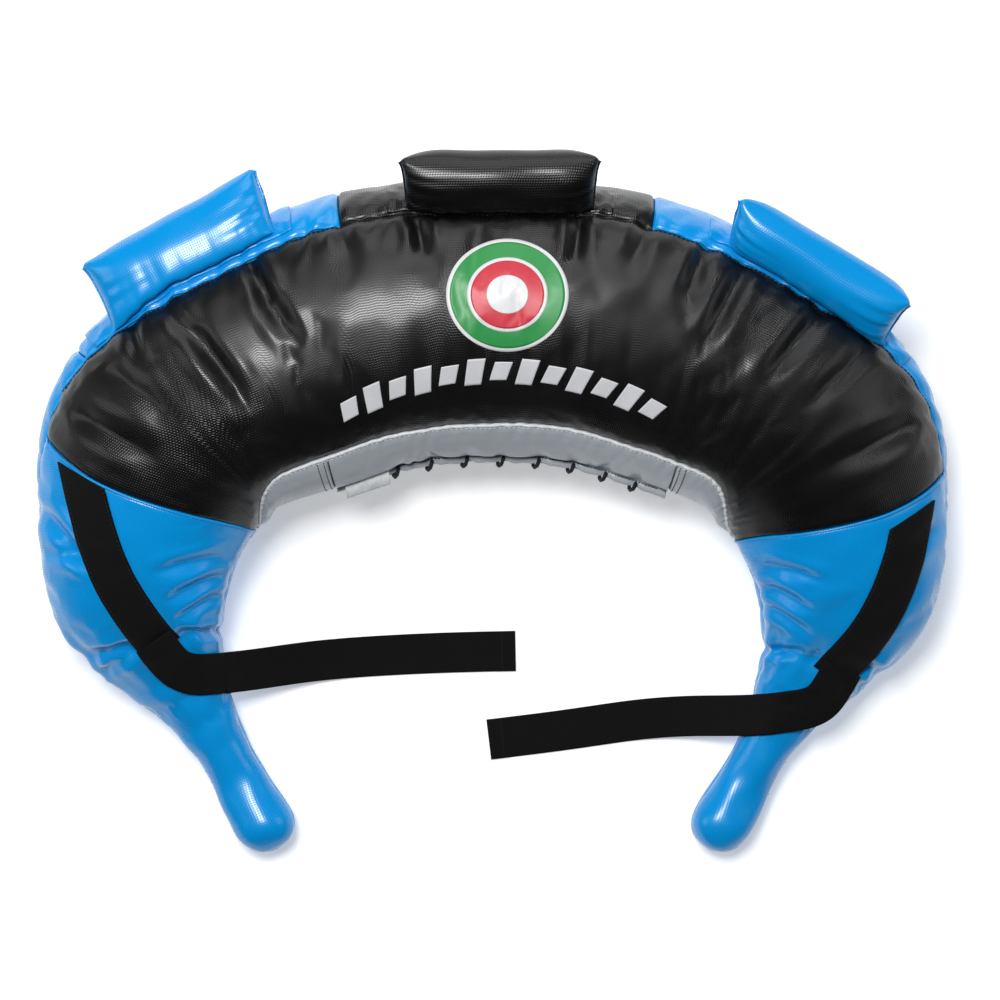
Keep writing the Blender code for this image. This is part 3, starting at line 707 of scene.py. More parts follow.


# %% [markdown]
# The black middle and the blue horns meet in a seam that bows towards the grips, because both panels are
# cut to wrap a tube. Each horn and its grip are one skin.

# %% Front and back panels
SEAM_BOW = 15 * MM
MIDDLE_WIDTH, HORN_WIDTH = 0.28, 0.24


def middle_panel(name, angles, node):
    """The black panel, with both of its ends bowed outwards."""
    halves = []
    for side, sign in SIDES.items():
        points = patch(0.0, sign * COLOUR_SEAM[side], angles, bow=sign * SEAM_BOW,
                       sewn=(False, True, True, True), width=MIDDLE_WIDTH)
        halves.append(points[::-1] if sign < 0 else points[1:])
    sewn_panel(name, np.concatenate(halves), black_vinyl, node)


middle_panel("front_middle_skin", front_angles, "front_centre_panel")
middle_panel("back_middle_skin", back_angles, "back_centre_panel")


NECK_REACH, TIP_GAP = 12 * MM, 0.5 * MM


def bend_at_neck(made, side):
    """Bakes the piece's placement into its mesh; a pivot and a direction at the neck are worked out but not
    used.
    """
    sign = SIDES[side]
    pivot = section(sign * PINCH[side], np.array(math.pi / 2))
    middle = section(sign * PINCH[side], np.array([0.0, math.pi])).mean(axis=0)
    ahead = (section(sign * (PINCH[side] + 0.01), np.array([0.0, math.pi])).mean(axis=0) - middle) / 0.01
    ahead[2], middle[2] = 0, pivot[2] / 2
    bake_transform(made)


def horn_panel(side, face, angles):
    """A blue panel from the colour seam to the grip's end, as one grid whose last rows crowd together."""
    sign = SIDES[side]
    start, end = COLOUR_SEAM[side], GRIP_END - TIP_GAP
    count = round((end - start) / GRID_PITCH)
    rows = np.concatenate([start + EDGE_ROWS[:-1], np.linspace(start + EDGE_ROWS[-1], end - 0.006, count),
                           end - 0.006 * (1 - np.linspace(0, 1, 7)[1:]) ** 1.6])
    columns = crowded(0.0, 1.0, HORN_WIDTH)[None, :]
    far = (rows[:, None] - start) / (end - start)
    a, b = angles(sign * rows[:, None])
    angle = a + (b - a) * columns
    bow = SEAM_BOW * np.abs(np.sin(angle)) ** 1.5 * (1 - smooth_step(0.0, 0.5, far))
    s = sign * (rows[:, None] + bow)
    a, b = angles(s)
    angle = a + (b - a) * columns
    half = half_across(s)
    side_drop = edge_drop(np.minimum(angle - a, b - angle) * half) * (0.35 + 0.65 * (half > 0.04))
    lift = np.minimum(edge_drop(rows[:, None] - start + 0 * angle), side_drop)
    points = skin_point(s, angle, lift * grip_share(s))
    points = points if sign > 0 else points[::-1]
    made = cloth_object(f"horn_{side}_{face}_skin", points, blue_vinyl)
    bend_at_neck(made, side)
    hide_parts(f"{face}_{side}_panel", f"grip_{side}_{face}_panel")
    skin_pieces.append(made)


def grip_tip(side):
    """Closes the last ring of a grip's skin: rings shrink to its middle, which stands out a little."""
    sign = SIDES[side]
    ring = skin_point(sign * (GRIP_END - TIP_GAP), np.linspace(0, 2 * math.pi, 49))
    before = skin_point(sign * (GRIP_END - TIP_GAP - 0.010), np.linspace(0, 2 * math.pi, 49))
    middle = ring[:-1].mean(axis=0)
    ahead = middle - before[:-1].mean(axis=0)
    ahead = ahead / np.linalg.norm(ahead)
    share = np.linspace(1.04, 0, 12)[:, None, None]
    points = middle + (ring - middle) * share + ahead * (0.0016 * (1 - share**2))
    made = cloth_object(f"grip_{side}_tip", points if sign > 0 else points[::-1], blue_vinyl)
    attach(made, f"grip_{side}")


for side in SIDES:
    horn_panel(side, "front", front_angles)
    horn_panel(side, "back", back_angles)
    grip_tip(side)
print(len(skin_pieces), "front and back panels")

# %% [markdown]
# ## Gusset and inner band
# The gusset is a long strip around the outside of the crescent: black in the middle, where it carries the
# middle handle, and blue beyond. The band on the inside is grey.

# %% Gusset and band
GUSSET_LOWER_SEAM = 0.252


def side_patch(side, near, far, angles):
    """A patch between two distances from the middle, on one side of the bag."""
    return patch(near, far, angles) if SIDES[side] > 0 else patch(-far, -near, angles)


middle = patch(-GUSSET_SEAM["left"], GUSSET_SEAM["right"], gusset_angles)
sewn_panel("gusset_middle_skin", middle, black_vinyl, "outer_gusset_centre")
for side in SIDES:
    upper = side_patch(side, GUSSET_SEAM[side], GUSSET_LOWER_SEAM, gusset_angles)
    lower = side_patch(side, GUSSET_LOWER_SEAM, GUSSET_END, gusset_angles)
    band = side_patch(side, CLOSURE[side], BAND_END[side], band_angles)
    sewn_panel(f"gusset_{side}_skin", upper, blue_vinyl, f"outer_gusset_{side}")
    sewn_panel(f"gusset_{side}_end_skin", lower, blue_vinyl, f"outer_gusset_{side}_end")
    sewn_panel(f"band_{side}_skin", band, grey_vinyl, f"inner_band_{side}")

# %% [markdown]
# ## Piping and stitches
# Where the band meets the front panel the grey vinyl is folded over the seam as a rolled edge. A tube
# along the seam makes it; the upper one is grey vinyl painted pale, a painted highlight along the roll.
# Stitches are small capsules, laid end to end along a line on the skin, all in one object.

# %% Tubes and stitches
def directions(path):
    """Unit tangents of a path, from the differences between its points."""
    tangent = np.gradient(path, axis=0)
    return tangent / np.maximum(np.linalg.norm(tangent, axis=-1, keepdims=True), 1e-12)


def frames(path):
    """Tangent, side and up directions along a path; the side is level unless the path is upright."""
    tangent = directions(path)
    side = np.cross(tangent, [0, 0, 1.0])
    side = side / np.maximum(np.linalg.norm(side, axis=-1, keepdims=True), 1e-9)
    return tangent, side, np.cross(side, tangent)


def tube(name, path, radius, finish, sides=10):
    """A circle carried along a path, whose radius may vary and closes to nothing at both ends."""
    radius = np.broadcast_to(np.asarray(radius, float), len(path)).copy()
    radius[[0, -1]] = 1e-5
    _, side, up = frames(path)
    turn = np.linspace(0, 2 * math.pi, sides, endpoint=False)
    ring = np.cos(turn)[None, :, None] * side[:, None] + np.sin(turn)[None, :, None] * up[:, None]
    points = path[:, None] + ring * radius[:, None, None]
    uv = np.stack(np.broadcast_arrays(walk(path[:, None], 0), turn[None, :] * radius.mean()), -1)
    return finished_object(name, grid_mesh(name, points[:, ::-1], closed=True), finish, uv)


def stitches(name, paths, finish, pitch=3.4 * MM, length=2.5 * MM, thick=0.42 * MM):
    """Capsules along the paths: each has a fixed ring profile, turned to its path and dug in at both ends."""
    along = np.array([-0.5, -0.36, 0.0, 0.36, 0.5]) * length
    wide = np.array([0.05, 0.75, 1.0, 0.75, 0.05]) * thick
    dip = np.array([-1.0, -0.35, 0.25, -0.35, -1.0]) * thick
    turn = np.linspace(0, 2 * math.pi, 6, endpoint=False)
    every = []
    for path in paths:
        far = walk(path, 0)
        at = np.arange(pitch / 2, far[-1] - pitch / 2, pitch)
        middle, ahead, side, up = (
            np.stack([np.interp(at, far, values[:, i]) for i in range(3)], -1)[:, None, None]
            for values in (path, *frames(path))
        )
        rows = middle + ahead * along[None, :, None, None]
        rows = rows + up * dip[None, :, None, None]
        rows = rows + side * (np.cos(turn) * wide[:, None])[None, ..., None]
        every.append(rows + up * (np.sin(turn) * wide[:, None])[None, ..., None])
    points = np.concatenate(every)
    count, rings, sides = points.shape[:3]
    index = np.arange(count * rings * sides).reshape(count, rings, sides)
    index = np.concatenate([index, index[:, :, :1]], axis=2)
    quads = np.stack([index[:, :-1, :-1], index[:, 1:, :-1], index[:, 1:, 1:], index[:, :-1, 1:]], -1)
    caps = np.concatenate([index[:, 0, :-1], index[:, -1, -2::-1]])
    mesh = bpy.data.meshes.new(name)
    mesh.from_pydata(points.reshape(-1, 3).tolist(), [], quads.reshape(-1, 4).tolist() + caps.tolist())
    mesh.shade_smooth()
    print(name, "has", count, "stitches")
    return finished_object(name, mesh, finish)


def placed(made, body, slot, *nodes):
    """Gives a piece its body, and lets it stand for the CAD nodes, if any are named. The slot is not used."""
    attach(made, body)
    if nodes:
        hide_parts(*nodes)
    return made


# %% Seams
def on_skin(low, high, angle_of, lift, pitch=1.6 * MM):
    """A path over the skin between two distances along the bag, at the angle that a function gives."""
    s = np.linspace(low, high, max(8, round(abs(high - low) / pitch)))
    return skin_point(s, angle_of(s), np.full(len(s), lift))


def beside(angle_of, offset):
    """The same line, moved around the bag by an offset in metres."""
    return lambda s: angle_of(s) + offset / np.maximum(half_across(s), 0.01)


def upper_band_seam(s):
    return math.pi - band_angle(s)


EDGE_RADIUS, STITCH_SET_BACK = 1.35 * MM, 3.6 * MM
band_ends = (-BAND_END["left"] + 0.004, BAND_END["right"] - 0.004)
path = on_skin(*band_ends, beside(upper_band_seam, 1.2 * MM), 0.2 * MM)
ripple = 1 + 0.18 * wander(4, 0.004, 0.011, 61)(np.linspace(*band_ends, len(path)))
# This rolled edge is painted pale as a painted highlight; the lower rolled edge keeps the grey vinyl.
placed(tube("band_rolled_edge", path, EDGE_RADIUS * ripple, grey_vinyl_painted_highlight), "bag", "grey_vinyl")
path = on_skin(*band_ends, beside(lambda s: math.pi + band_angle(s), -1.2 * MM), 0.2 * MM)
placed(tube("band_lower_rolled_edge", path, EDGE_RADIUS, grey_vinyl), "bag", "grey_vinyl")

outer_row = on_skin(-0.27, 0.28, beside(gusset_angle, STITCH_SET_BACK), 0.4 * MM)
band_row = on_skin(*band_ends, beside(upper_band_seam, STITCH_SET_BACK), 0.2 * MM)
placed(stitches("outer_seam_stitches", [outer_row], black_cord), "bag", "black_cord")
placed(stitches("band_seam_stitches", [band_row], white_thread), "bag", "white_tape")


def grip_piping(side, place, start, angle):
    """A crimped tube that fills the seam between a horn's two panels, out to the grip's tip."""
    sign = SIDES[side]
    s = np.linspace(sign * start, sign * (GRIP_END - 1.4 * MM), 200)
    crimped = 1 + 0.22 * wander(6, 0.004, 0.015, 64)(s)
    path = skin_point(s, angle, -1.2 * MM)
    made = tube(f"grip_{side}_{place}_piping", path, 1.5 * MM * crimped, blue_vinyl)
    bend_at_neck(made, side)


def folded_edges(side):
    """Thin rolled edges: a ragged one along the gusset, and one along the bowed seam with the black panel."""
    sign = SIDES[side]
    low, high = sorted((sign * (GUSSET_SEAM[side] + 0.002), sign * (GUSSET_END - 0.006)))
    path = on_skin(low, high, beside(gusset_angle, -0.6 * MM), 0.4 * MM, 1.2 * MM)
    ragged = 1 + 0.30 * wander(6, 0.005, 0.018, 63)(np.linspace(low, high, len(path)))
    edge = tube(f"gusset_{side}_folded_edge", path, 0.9 * MM * ragged, blue_vinyl)
    placed(edge, "bag", "blue_vinyl")
    share = np.linspace(0.02, 0.98, 160)
    s = np.full(160, sign * COLOUR_SEAM[side])
    for _ in range(3):
        low, high = front_angles(s)
        angle = low + (high - low) * share
        s = sign * (COLOUR_SEAM[side] + SEAM_BOW * np.abs(np.sin(angle)) ** 1.5 + 0.8 * MM)
    edge = tube(f"horn_{side}_folded_edge", skin_point(s, angle, -0.2 * MM), 1.0 * MM, blue_vinyl)
    placed(edge, "bag", "blue_vinyl")


for side in SIDES:
    grip_piping(side, "outer", GUSSET_END - 0.006, 0.0)
    grip_piping(side, "inner", BAND_END[side] + 0.006, math.pi)
    folded_edges(side)

# %% [markdown]
# ## Laced closure
# The sand goes in through a mouth in the inner band. Its two grey flaps turn outwards into lips, and one
# cord is whipped over them. The cord pulls the lips in at each hole, so their edges are scalloped. The cord
# itself keeps its CAD shape.

# %% Closure flaps
LIP_HEIGHT = 7.5 * MM
LACE_HOLES = np.linspace(-0.076, 0.121, 8)


def lip_point(s, out, up):
    """A point beside the closure, out from the inner band and up from its middle line."""
    outer, inner = np.stack([outer_x(s), outer_y(s)], -1), np.stack([inner_x(s), inner_y(s)], -1)
    away = (inner - outer) / np.linalg.norm(inner - outer, axis=-1, keepdims=True)
    z = BASE_SINK * full_height(s) / (1 + BASE_SINK) + up
    plan = inner + away * np.asarray(out)[..., None]
    return np.concatenate([plan, np.broadcast_to(z, plan.shape[:-1])[..., None]], -1)


def scallop(s):
    """1 midway between lace holes and 0 at each: a raised cosine of their pitch, steady past the ends."""
    pitch = LACE_HOLES[1] - LACE_HOLES[0]
    inside = smooth_step(LACE_HOLES[0] - pitch, LACE_HOLES[0], s)
    inside = inside * (1 - smooth_step(LACE_HOLES[-1], LACE_HOLES[-1] + pitch, s))
    return 1 - inside * (0.5 + 0.5 * np.cos(2 * math.pi * (s - LACE_HOLES[0]) / pitch)) ** 3


s = np.linspace(-CLOSURE["left"] + 0.0003, CLOSURE["right"] - 0.0003, 230)
for name, sign in (("upper", 1), ("lower", -1)):
    shares = crowded(0.0, 1.0, 0.045, True, False)[None, :]
    start = band_angle(s)[:, None]
    stop = math.radians(7)
    a = start + (stop - start) * shares
    lift = edge_drop((start - a) * half_across(s)[:, None])
    puff = scallop(s)[:, None]
    lift = lift + 0.0012 * puff * smooth_step(0.45, 1.0, shares)
    wall = skin_point(s[:, None], math.pi - sign * a, lift)
    outs = np.array([0.0016, 0.0030, 0.0044, 0.0058, 0.0070, 0.0078, 0.0080])[None, :]
    uneven = 0.0004 * wander(5, 0.01, 0.03, 71)(s)[:, None]
    lip_out = outs / 0.0080 * (LIP_HEIGHT - 0.0016 * (1 - puff) + uneven)
    rise = 0.0013 + 0.0012 * puff * np.sin(math.pi * np.clip(outs / 0.0084, 0, 1)) ** 0.8
    rise = rise * np.where(outs > 0.0075, 0.75, 1)
    lips = lip_point(s[:, None], lip_out, sign * rise)
    rows = np.concatenate([wall, lips], axis=1)[:, ::sign]
    flap = cloth_object(f"closure_{name}_skin", rows, grey_vinyl, thickness=0.8 * MM)
    placed(flap, "bag", "grey_vinyl", f"closure_{name}_flap")
    if sign > 0:
        # Black stitches along the upper lip, which also paint the shade of the lip's groove as a dark line.
        line = [lips[6:-6, 1] + [0, 0, 0.0004]]
        lip_stitches_and_groove_shade = stitches("closure_lip_stitches_groove_shade", line, black_cord, 2.6 * MM, 2.3 * MM, 0.36 * MM)
        placed(lip_stitches_and_groove_shade, "bag", "black_cord")

ends = []
for side, sign in SIDES.items():
    for beyond in (0.0045, 0.0105):
        place = sign * (CLOSURE[side] + beyond)
        around = np.linspace(math.pi - band_angle(place) + 0.03, math.pi + band_angle(place) - 0.03, 60)
        ends.append(skin_point(np.full(60, place), around, np.full(60, 0.0002)))
placed(stitches("band_end_stitches", ends, black_cord, 2.6 * MM, 2.3 * MM, 0.34 * MM), "bag", "black_cord")
frame["nodes"]["closure_lace"].data.materials.clear()
frame["nodes"]["closure_lace"].data.materials.append(black_cord)

# %% Closure ends and tab
tab_s, tab_k = np.meshgrid(np.linspace(-0.125, -0.084, 40), np.linspace(0, 1, 16), indexing="ij")
crumple = 0.0004 * wander_plane(6, 0.006, 0.016, 81)(np.stack([tab_s, tab_k * 0.014, tab_s], -1))
frayed = 0.0006 * wander(6, 0.0015, 0.005, 82)(tab_s) * (tab_k > 0.95)
reach_out = LIP_HEIGHT - 0.0045 + 0.0105 * tab_k + frayed
rise = 0.0058 + 0.0022 * np.sin(math.pi * tab_k) - 0.0030 * tab_k + crumple
tab_points = lip_point(tab_s, reach_out, rise)
tab = cloth_object("closure_tab_cloth", tab_points, white_tape, thickness=1.1 * MM, offset=0.0)
placed(tab, "bag", "white_tape", "closure_tab")

# %% [markdown]
# ## Handles
# Each handle is a foam roll in a tube of vinyl whose ends are sewn flat, so it looks like a long pillow
# with an ear at each outer corner. Its width out of the bag stays the same to the ends, its thickness
# closes to a seam, and the corners are drawn out while the seam between them caves in.

# %% Handles
HANDLE_PLACES = {"left": -0.187, "centre": 0.005, "right": 0.197}
HANDLE_TILTS = {"left": math.radians(21), "centre": math.radians(29), "right": math.radians(29)}
HANDLE_LEANS = {"left": 0.0, "centre": math.radians(24), "right": math.radians(30)}
HANDLE_SEAMS = {"left": math.radians(37), "centre": math.radians(41), "right": math.radians(37)}
HANDLE_LENGTH, HANDLE_RADIUS, PIVOT_HEIGHT = 0.140, 0.0178, 0.0018
HANDLE_BASE_HALF = {"left": 0.058, "centre": 0.074, "right": 0.058}


def handle_frame(side):
    """The pivot under a handle, and the directions along it, out of the bag and across it."""
    place, tilt, lean, step = HANDLE_PLACES[side], HANDLE_TILTS[side], HANDLE_LEANS[side], 0.002
    ahead, behind = place + step, place - step
    t = np.array([outer_x(ahead) - outer_x(behind), outer_y(ahead) - outer_y(behind), 0])
    t = t / np.linalg.norm(t)
    n = np.cross(t, section(place, tilt + step) - section(place, tilt - step))
    n = n / np.linalg.norm(n)
    n = n if n @ (section(place, 0.0) - section(place, math.pi)) > 0 else -n
    across = np.cross(n, t) if np.cross(n, t)[2] > 0 else np.cross(t, n)
    pivot = section(place, tilt) + n * PIVOT_HEIGHT
    out = n * math.cos(lean) + across * math.sin(lean)
    over = across * math.cos(lean) - n * math.sin(lean)
    return pivot, t, out, over


def handle_surface(side, seed):
    """Pillow: u runs along it and angle around a roll, whose inner side is drawn out to the seam."""
    pivot, t, out, over = handle_frame(side)
    u = np.concatenate([-np.linspace(0, 1, 13)[:0:-1] ** 0.5 * 0.06 - 0.94, np.linspace(-0.94, 0.94, 110),
                        0.94 + 0.06 * np.linspace(0, 1, 13)[1:] ** 0.5])[:, None]
    angle = np.linspace(0, 2 * math.pi, 96, endpoint=False)[None, :]
    w, h = np.cos(angle), np.sin(angle)
    outer, inner = np.clip(w, 0, 1), np.clip(-w, 0, 1)
    full = (1 - np.clip(np.abs(u) / 0.975, 0, 1) ** 5.5) ** 0.50
    thick = np.where(np.abs(u) < 1, 0.0011 + (HANDLE_RADIUS - 0.0011) * full, 0.0)
    ears = np.abs(u) ** 7
    ripple = wander(7, 0.25, 0.7, seed)(w + 3 * np.sign(u)) * np.abs(u) ** 3 * (1 - np.abs(u) ** 18)
    shift = ears * (0.018 * outer - 0.030 * (1 - w**2) - 0.05 * inner)
    along = HANDLE_LENGTH / 2 * (u + np.sign(u) * shift)
    tips = outer**4 * smooth_step(0.92, 1.0, np.abs(u)) ** 2
    share = 1 + 0.060 * outer * ears + 0.02 * (1 - u**2) - 0.20 * tips
    outwards = 0.0180 + 0.0172 * share * np.sign(w) * np.abs(w) ** 0.94
    upwards = thick * np.sign(h) * np.abs(h) ** 0.92 * (1 + 0.085 * ripple)
    roll = pivot + t * along[..., None] + out * (outwards + 0 * u)[..., None] + over * upwards[..., None]
    place, seam = HANDLE_PLACES[side], HANDLE_SEAMS[side]
    stretch = np.linalg.norm(section(place + 0.01, seam) - section(place - 0.01, seam)) / 0.02
    foot = skin_point(place + along / stretch, seam, 0.0022)
    reach = np.where(h > 0, ((1 - w) / 2) ** 2, inner ** (1.7 + 2.6 * full))
    edge = pivot + t * along[..., None] + out * 0.0008
    points = roll + (foot - edge) * reach[..., None]
    swell = wander_plane(6, 0.03, 0.08, seed + 1)
    dents = (0.0006 * swell(points) * full)[..., None]
    return points + (out * w[..., None] + over * h[..., None]) * dents


def handle_cover(side, finish, seed):
    """The pillow and the stitches of its two hems."""
    points = handle_surface(side, seed)
    around = np.concatenate([points, points[:, :1]], axis=1)
    uv = np.stack([walk(around, 0), walk(around, 1)], -1)
    made = cloth_object(f"handle_{side}_pillow", around[:, ::-1], finish, thickness=0, uv=uv[:, ::-1])
    weld = made.modifiers.new("weld", "WELD")
    weld.merge_threshold = 1e-5
    pivot, t, out, over = handle_frame(side)
    tuple(pivot - out * 0.002)
    tuple(pivot + out * 0.010)
    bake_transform(made)
    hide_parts(f"handle_{side}_cover")
    # The hem's stitches run across each end on the upper face.
    ends = [points[i, 5:38] + over * 0.0003 for i in (6, len(points) - 7)]
    hems = stitches(f"handle_{side}_hem_stitches", ends, finish, 2.8 * MM, 2.0 * MM, 0.3 * MM)
    tuple(pivot - out * 0.002)
    tuple(pivot + out * 0.010)
    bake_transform(hems)


def handle_base(side, finish, slot, seed):
    """The strip that carries the handle, sewn onto the gusset: a patch of skin lifted by its thickness."""
    place, half = HANDLE_PLACES[side], HANDLE_BASE_HALF[side]
    s = np.linspace(place - half, place + half, 90)[:, None]
    ragged = 1 + 0.10 * wander(8, 0.006, 0.03, seed)(s)
    low = HANDLE_TILTS[side] - math.radians(8)
    high = np.minimum(HANDLE_SEAMS[side] + math.radians(2.2) * ragged, gusset_angle(s) - math.radians(0.8))
    angle = low + (high - low) * np.linspace(0, 1, 28)[None, :]
    lift = 0.0014 + 0.0004 * wander_plane(5, 0.01, 0.03, seed)(section(s, angle))
    made = cloth_object(f"handle_{side}_base_strip", skin_point(s, angle, lift), finish, thickness=1.3 * MM)
    placed(made, "bag", slot, f"handle_{side}_base")


handles = (("left", blue_vinyl, "blue_vinyl"), ("centre", black_vinyl, "black_vinyl"),
           ("right", blue_vinyl, "blue_vinyl"))
for i, (side, finish, slot) in enumerate(handles):
    handle_cover(side, finish, 90 + 7 * i)
    handle_base(side, finish, slot, 91 + 7 * i)

# %% [markdown]
# ## Straps
# A strap is 30 mm webbing. It is sewn down the horn, tucked in at the neck, and its free end crosses the
# arch and lies on the floor. Its heights come from rays dropped onto the skin, and then a rope-like
# relaxation bridges the hollows: each point rises to the mean of its neighbours, less a little sag, unless
# something holds it higher.

# %% Skin rays
def skin_tree():
    """One search tree over all the skin panels' own meshes."""
    points, faces, start = [], [], 0
    for piece in skin_pieces:
        mesh = piece.data
        flat = np.empty(len(mesh.vertices) * 3)
        mesh.vertices.foreach_get("co", flat)
        corners = np.empty(len(mesh.loops), dtype=np.int32)
        mesh.loops.foreach_get("vertex_index", corners)
        points.append(flat.reshape(-1, 3))
        faces.append(corners.reshape(-1, 4) + start)
        start += len(mesh.vertices)
    return BVHTree.FromPolygons(np.concatenate(points).tolist(), np.concatenate(faces).tolist())


tree = skin_tree()


def skin_height(x, y):
    """Height of the skin under a place, or 0 where there is none."""
    hit = tree.ray_cast(Vector((float(x), float(y), 1.0)), Vector((0, 0, -1)))[0]
    return hit.z if hit else 0.0


skin_heights = np.vectorize(skin_height)

# %% Straps
STRAP_WIDTH, WEBBING = 0.030, 1.6 * MM
STRAP_RUNS = {
    "left": ((0.290, 0.024), (0.281, -0.012), (0.270, -0.045), (0.256, -0.072), (0.240, -0.096),
             (0.2368, -0.1003)),
    "right": ((0.297, -0.004), (0.290, -0.038), (0.279, -0.069), (0.264, -0.096), (0.250, -0.114),
              (0.244, -0.122)),
}
STRAP_ENDS = {
    "left": ((0.2425, -0.0945), (0.2350, -0.106), (0.2275, -0.1148), (0.2180, -0.1192), (0.2050, -0.1200),
             (0.180, -0.1185), (0.140, -0.1140), (0.098, -0.1105), (0.040, -0.1075), (-0.017, -0.106)),
    "right": ((0.2525, -0.1150), (0.2455, -0.1290), (0.2390, -0.1390), (0.2310, -0.1440), (0.2180, -0.1470),
              (0.190, -0.1510), (0.150, -0.1535), (0.110, -0.1570), (0.060, -0.1640), (-0.003, -0.172)),
}


def ribbon_plan(points, sign, pitch=1.7 * MM, slant=0.0, columns=19):
    """Places of a ribbon's grid in plan, beside a spline through the points, and the spline's length."""
    given = np.array(points) * (sign, 1)
    far = np.concatenate([[0], np.cumsum(np.linalg.norm(np.diff(given, axis=0), axis=1))])
    line = [natural_spline(far, given[:, i]) for i in (0, 1)]
    across = np.linspace(-0.5, 0.5, columns)[None, :] * STRAP_WIDTH
    share = np.linspace(0, 1, round(far[-1] / pitch))[:, None]
    at = share * far[-1] + (1 - share) * across * slant
    place = np.stack([curve(at.ravel()).reshape(at.shape) for curve in line], -1)
    h = 1e-4
    steps = [curve(at.ravel() + h) - curve(at.ravel() - h) for curve in line]
    ahead = np.stack([step.reshape(at.shape) for step in steps], -1)
    ahead = ahead / np.linalg.norm(ahead, axis=-1, keepdims=True)
    return place + across[..., None] * np.stack([-ahead[..., 1], ahead[..., 0]], -1), far[-1]


def relaxed(below, sag, passes):
    """Heights that rest on what is below, or hang a little under the mean of their neighbours."""
    heights = below.copy()
    for _ in range(passes):
        heights[1:-1] = np.maximum(below[1:-1], (heights[:-2] + heights[2:]) / 2 - sag)
    return heights


def webbing_piece(name, plan, heights, length):
    """A strip of webbing over a grid of places, with its weave along the given length."""
    points = np.concatenate([plan, heights[..., None]], -1)
    width = np.linspace(0, STRAP_WIDTH, plan.shape[1])[None, :]
    along = np.linspace(0, length, plan.shape[0])[:, None]
    uv = np.stack(np.broadcast_arrays(along, width), -1)
    return cloth_object(name, points[:, ::-1], black_webbing, thickness=WEBBING, offset=0.0, uv=uv[:, ::-1])


def strap(side):
    """The sewn run down the horn, then the loose end, with the rows of stitches on both."""
    sign = SIDES[side]
    plan, length = ribbon_plan(STRAP_RUNS[side], sign, slant=-0.9 * sign)
    below = skin_heights(plan[..., 0], plan[..., 1])
    heights = relaxed(below, 0.00002, 60) + 0.0011
    run = placed(webbing_piece(f"strap_{side}_sewn_run", plan, heights, length), "bag", "black_webbing",
                 f"strap_{side}_run")
    edges = [np.concatenate([plan[:, i], heights[:, i, None] + WEBBING / 2], -1) for i in (1, -2)]
    placed(stitches(f"strap_{side}_run_stitches", edges, black_cord, 3.2 * MM, 2.4 * MM, 0.34 * MM), "bag",
           "black_cord")

    plan, length = ribbon_plan(STRAP_ENDS[side], sign)
    below = skin_heights(plan[..., 0], plan[..., 1])
    below = np.where(below > 0.001, below + 0.0016, WEBBING / 2)
    heights = relaxed(below, 0.000012, 3000)
    level = heights.mean(axis=1, keepdims=True)
    heights = np.where(below > 0.002, heights, 0.4 * heights + 0.6 * level)
    far = np.linspace(0, length, len(plan))[:, None]
    q = np.linspace(-1, 1, plan.shape[1])[None, :]
    twist = 0.0011 * q * np.sin(far / 0.041) * smooth_step(0.05, 0.09, far) * (heights > 0.004)
    heights = heights + 0.0031 * (1 - smooth_step(0.010, 0.030, far)) + twist
    hem = smooth_step(length - 0.0150, length - 0.0135, far)
    heights = np.maximum(heights, WEBBING / 2) + 0.0007 * hem
    end = webbing_piece(f"strap_{side}_loose_end", plan, heights, length)
    pivot = next(np.array(joint["pos_m"]) for joint in frame["joints"]
                 if joint["name"] == f"strap_{side}_lift")
    ahead = np.array([-sign, 0.0, 0.0])
    tuple(pivot - ahead * 0.010)
    tuple(pivot + ahead * 0.004)
    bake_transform(end)
    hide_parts(f"strap_{side}_wrap", f"strap_{side}_tail")
    row = int(np.argmin(np.abs(far[:, 0] - (length - 0.011))))
    seam = np.concatenate([plan[row], heights[row, :, None] + WEBBING / 2], -1)[1:-1]
    placed(stitches(f"strap_{side}_hem_stitches", [seam], black_cord, 2.6 * MM, 2.1 * MM, 0.34 * MM),
           f"strap_tail_{side}", "black_cord")
    print("strap", side, "is", round(length, 3), "m from the neck to its end")


for side in SIDES:
    strap(side)

# %% [markdown]
# ## Badge and marks
# The front carries a printed badge and a row of printed marks. Here they are plain shapes that mean
# nothing: a disc of five rings, and an arc of silver lozenges. Each is a thin film that lies on the skin.

# %% Prints
def print_finish(name, colour, worn, roughness=0.32):
    """Ink on vinyl: a slow noise in colour, and a finer one in roughness and height."""
    finish = Finish(name, roughness)
    place = finish.node("ShaderNodeTexCoord").outputs["Object"]
    patches, grains = finish.noise(place, 60.0), finish.noise(place, 700.0, 3.0)
    finish.blend_colours((patches * 0.6 + grains * 0.5).clamp(), colour, worn)
    finish.feed(finish.shader.inputs["Roughness"], (roughness + grains * 0.15).clamp())
    finish.bumps(grains, 0.03 * MM)
    return finish.material


badge_white = print_finish("badge white", (0.70, 0.71, 0.72), (0.82, 0.83, 0.84))
badge_red = print_finish("badge red", (0.560, 0.018, 0.040), (0.680, 0.030, 0.055))
badge_green = print_finish("badge green", (0.020, 0.260, 0.060), (0.035, 0.340, 0.085))
silver_ink = print_finish("silver ink", (0.56, 0.57, 0.60), (0.72, 0.73, 0.75), 0.36)


def film(name, x, y, finish, lift):
    """A thin film over a grid of places: the skin's height under each place, plus the lift."""
    z = skin_heights(x, y) + lift
    made = cloth_object(name, np.stack([x, y, z], -1), finish, thickness=0.15 * MM)
    return placed(made, "bag", "white_tape")


BADGE_X, BADGE_Y, BADGE_RADIUS = 0.0105, 0.149, 0.0425


def badge_disc(radius):
    """A square grid squeezed into a disc: each side shrinks by the root of 1 less half the other squared."""
    a, b = np.meshgrid(np.linspace(-1, 1, 44), np.linspace(-1, 1, 44), indexing="ij")
    return BADGE_X + radius * a * (1 - b**2 / 2) ** 0.5, BADGE_Y + 0.93 * radius * b * (1 - a**2 / 2) ** 0.5


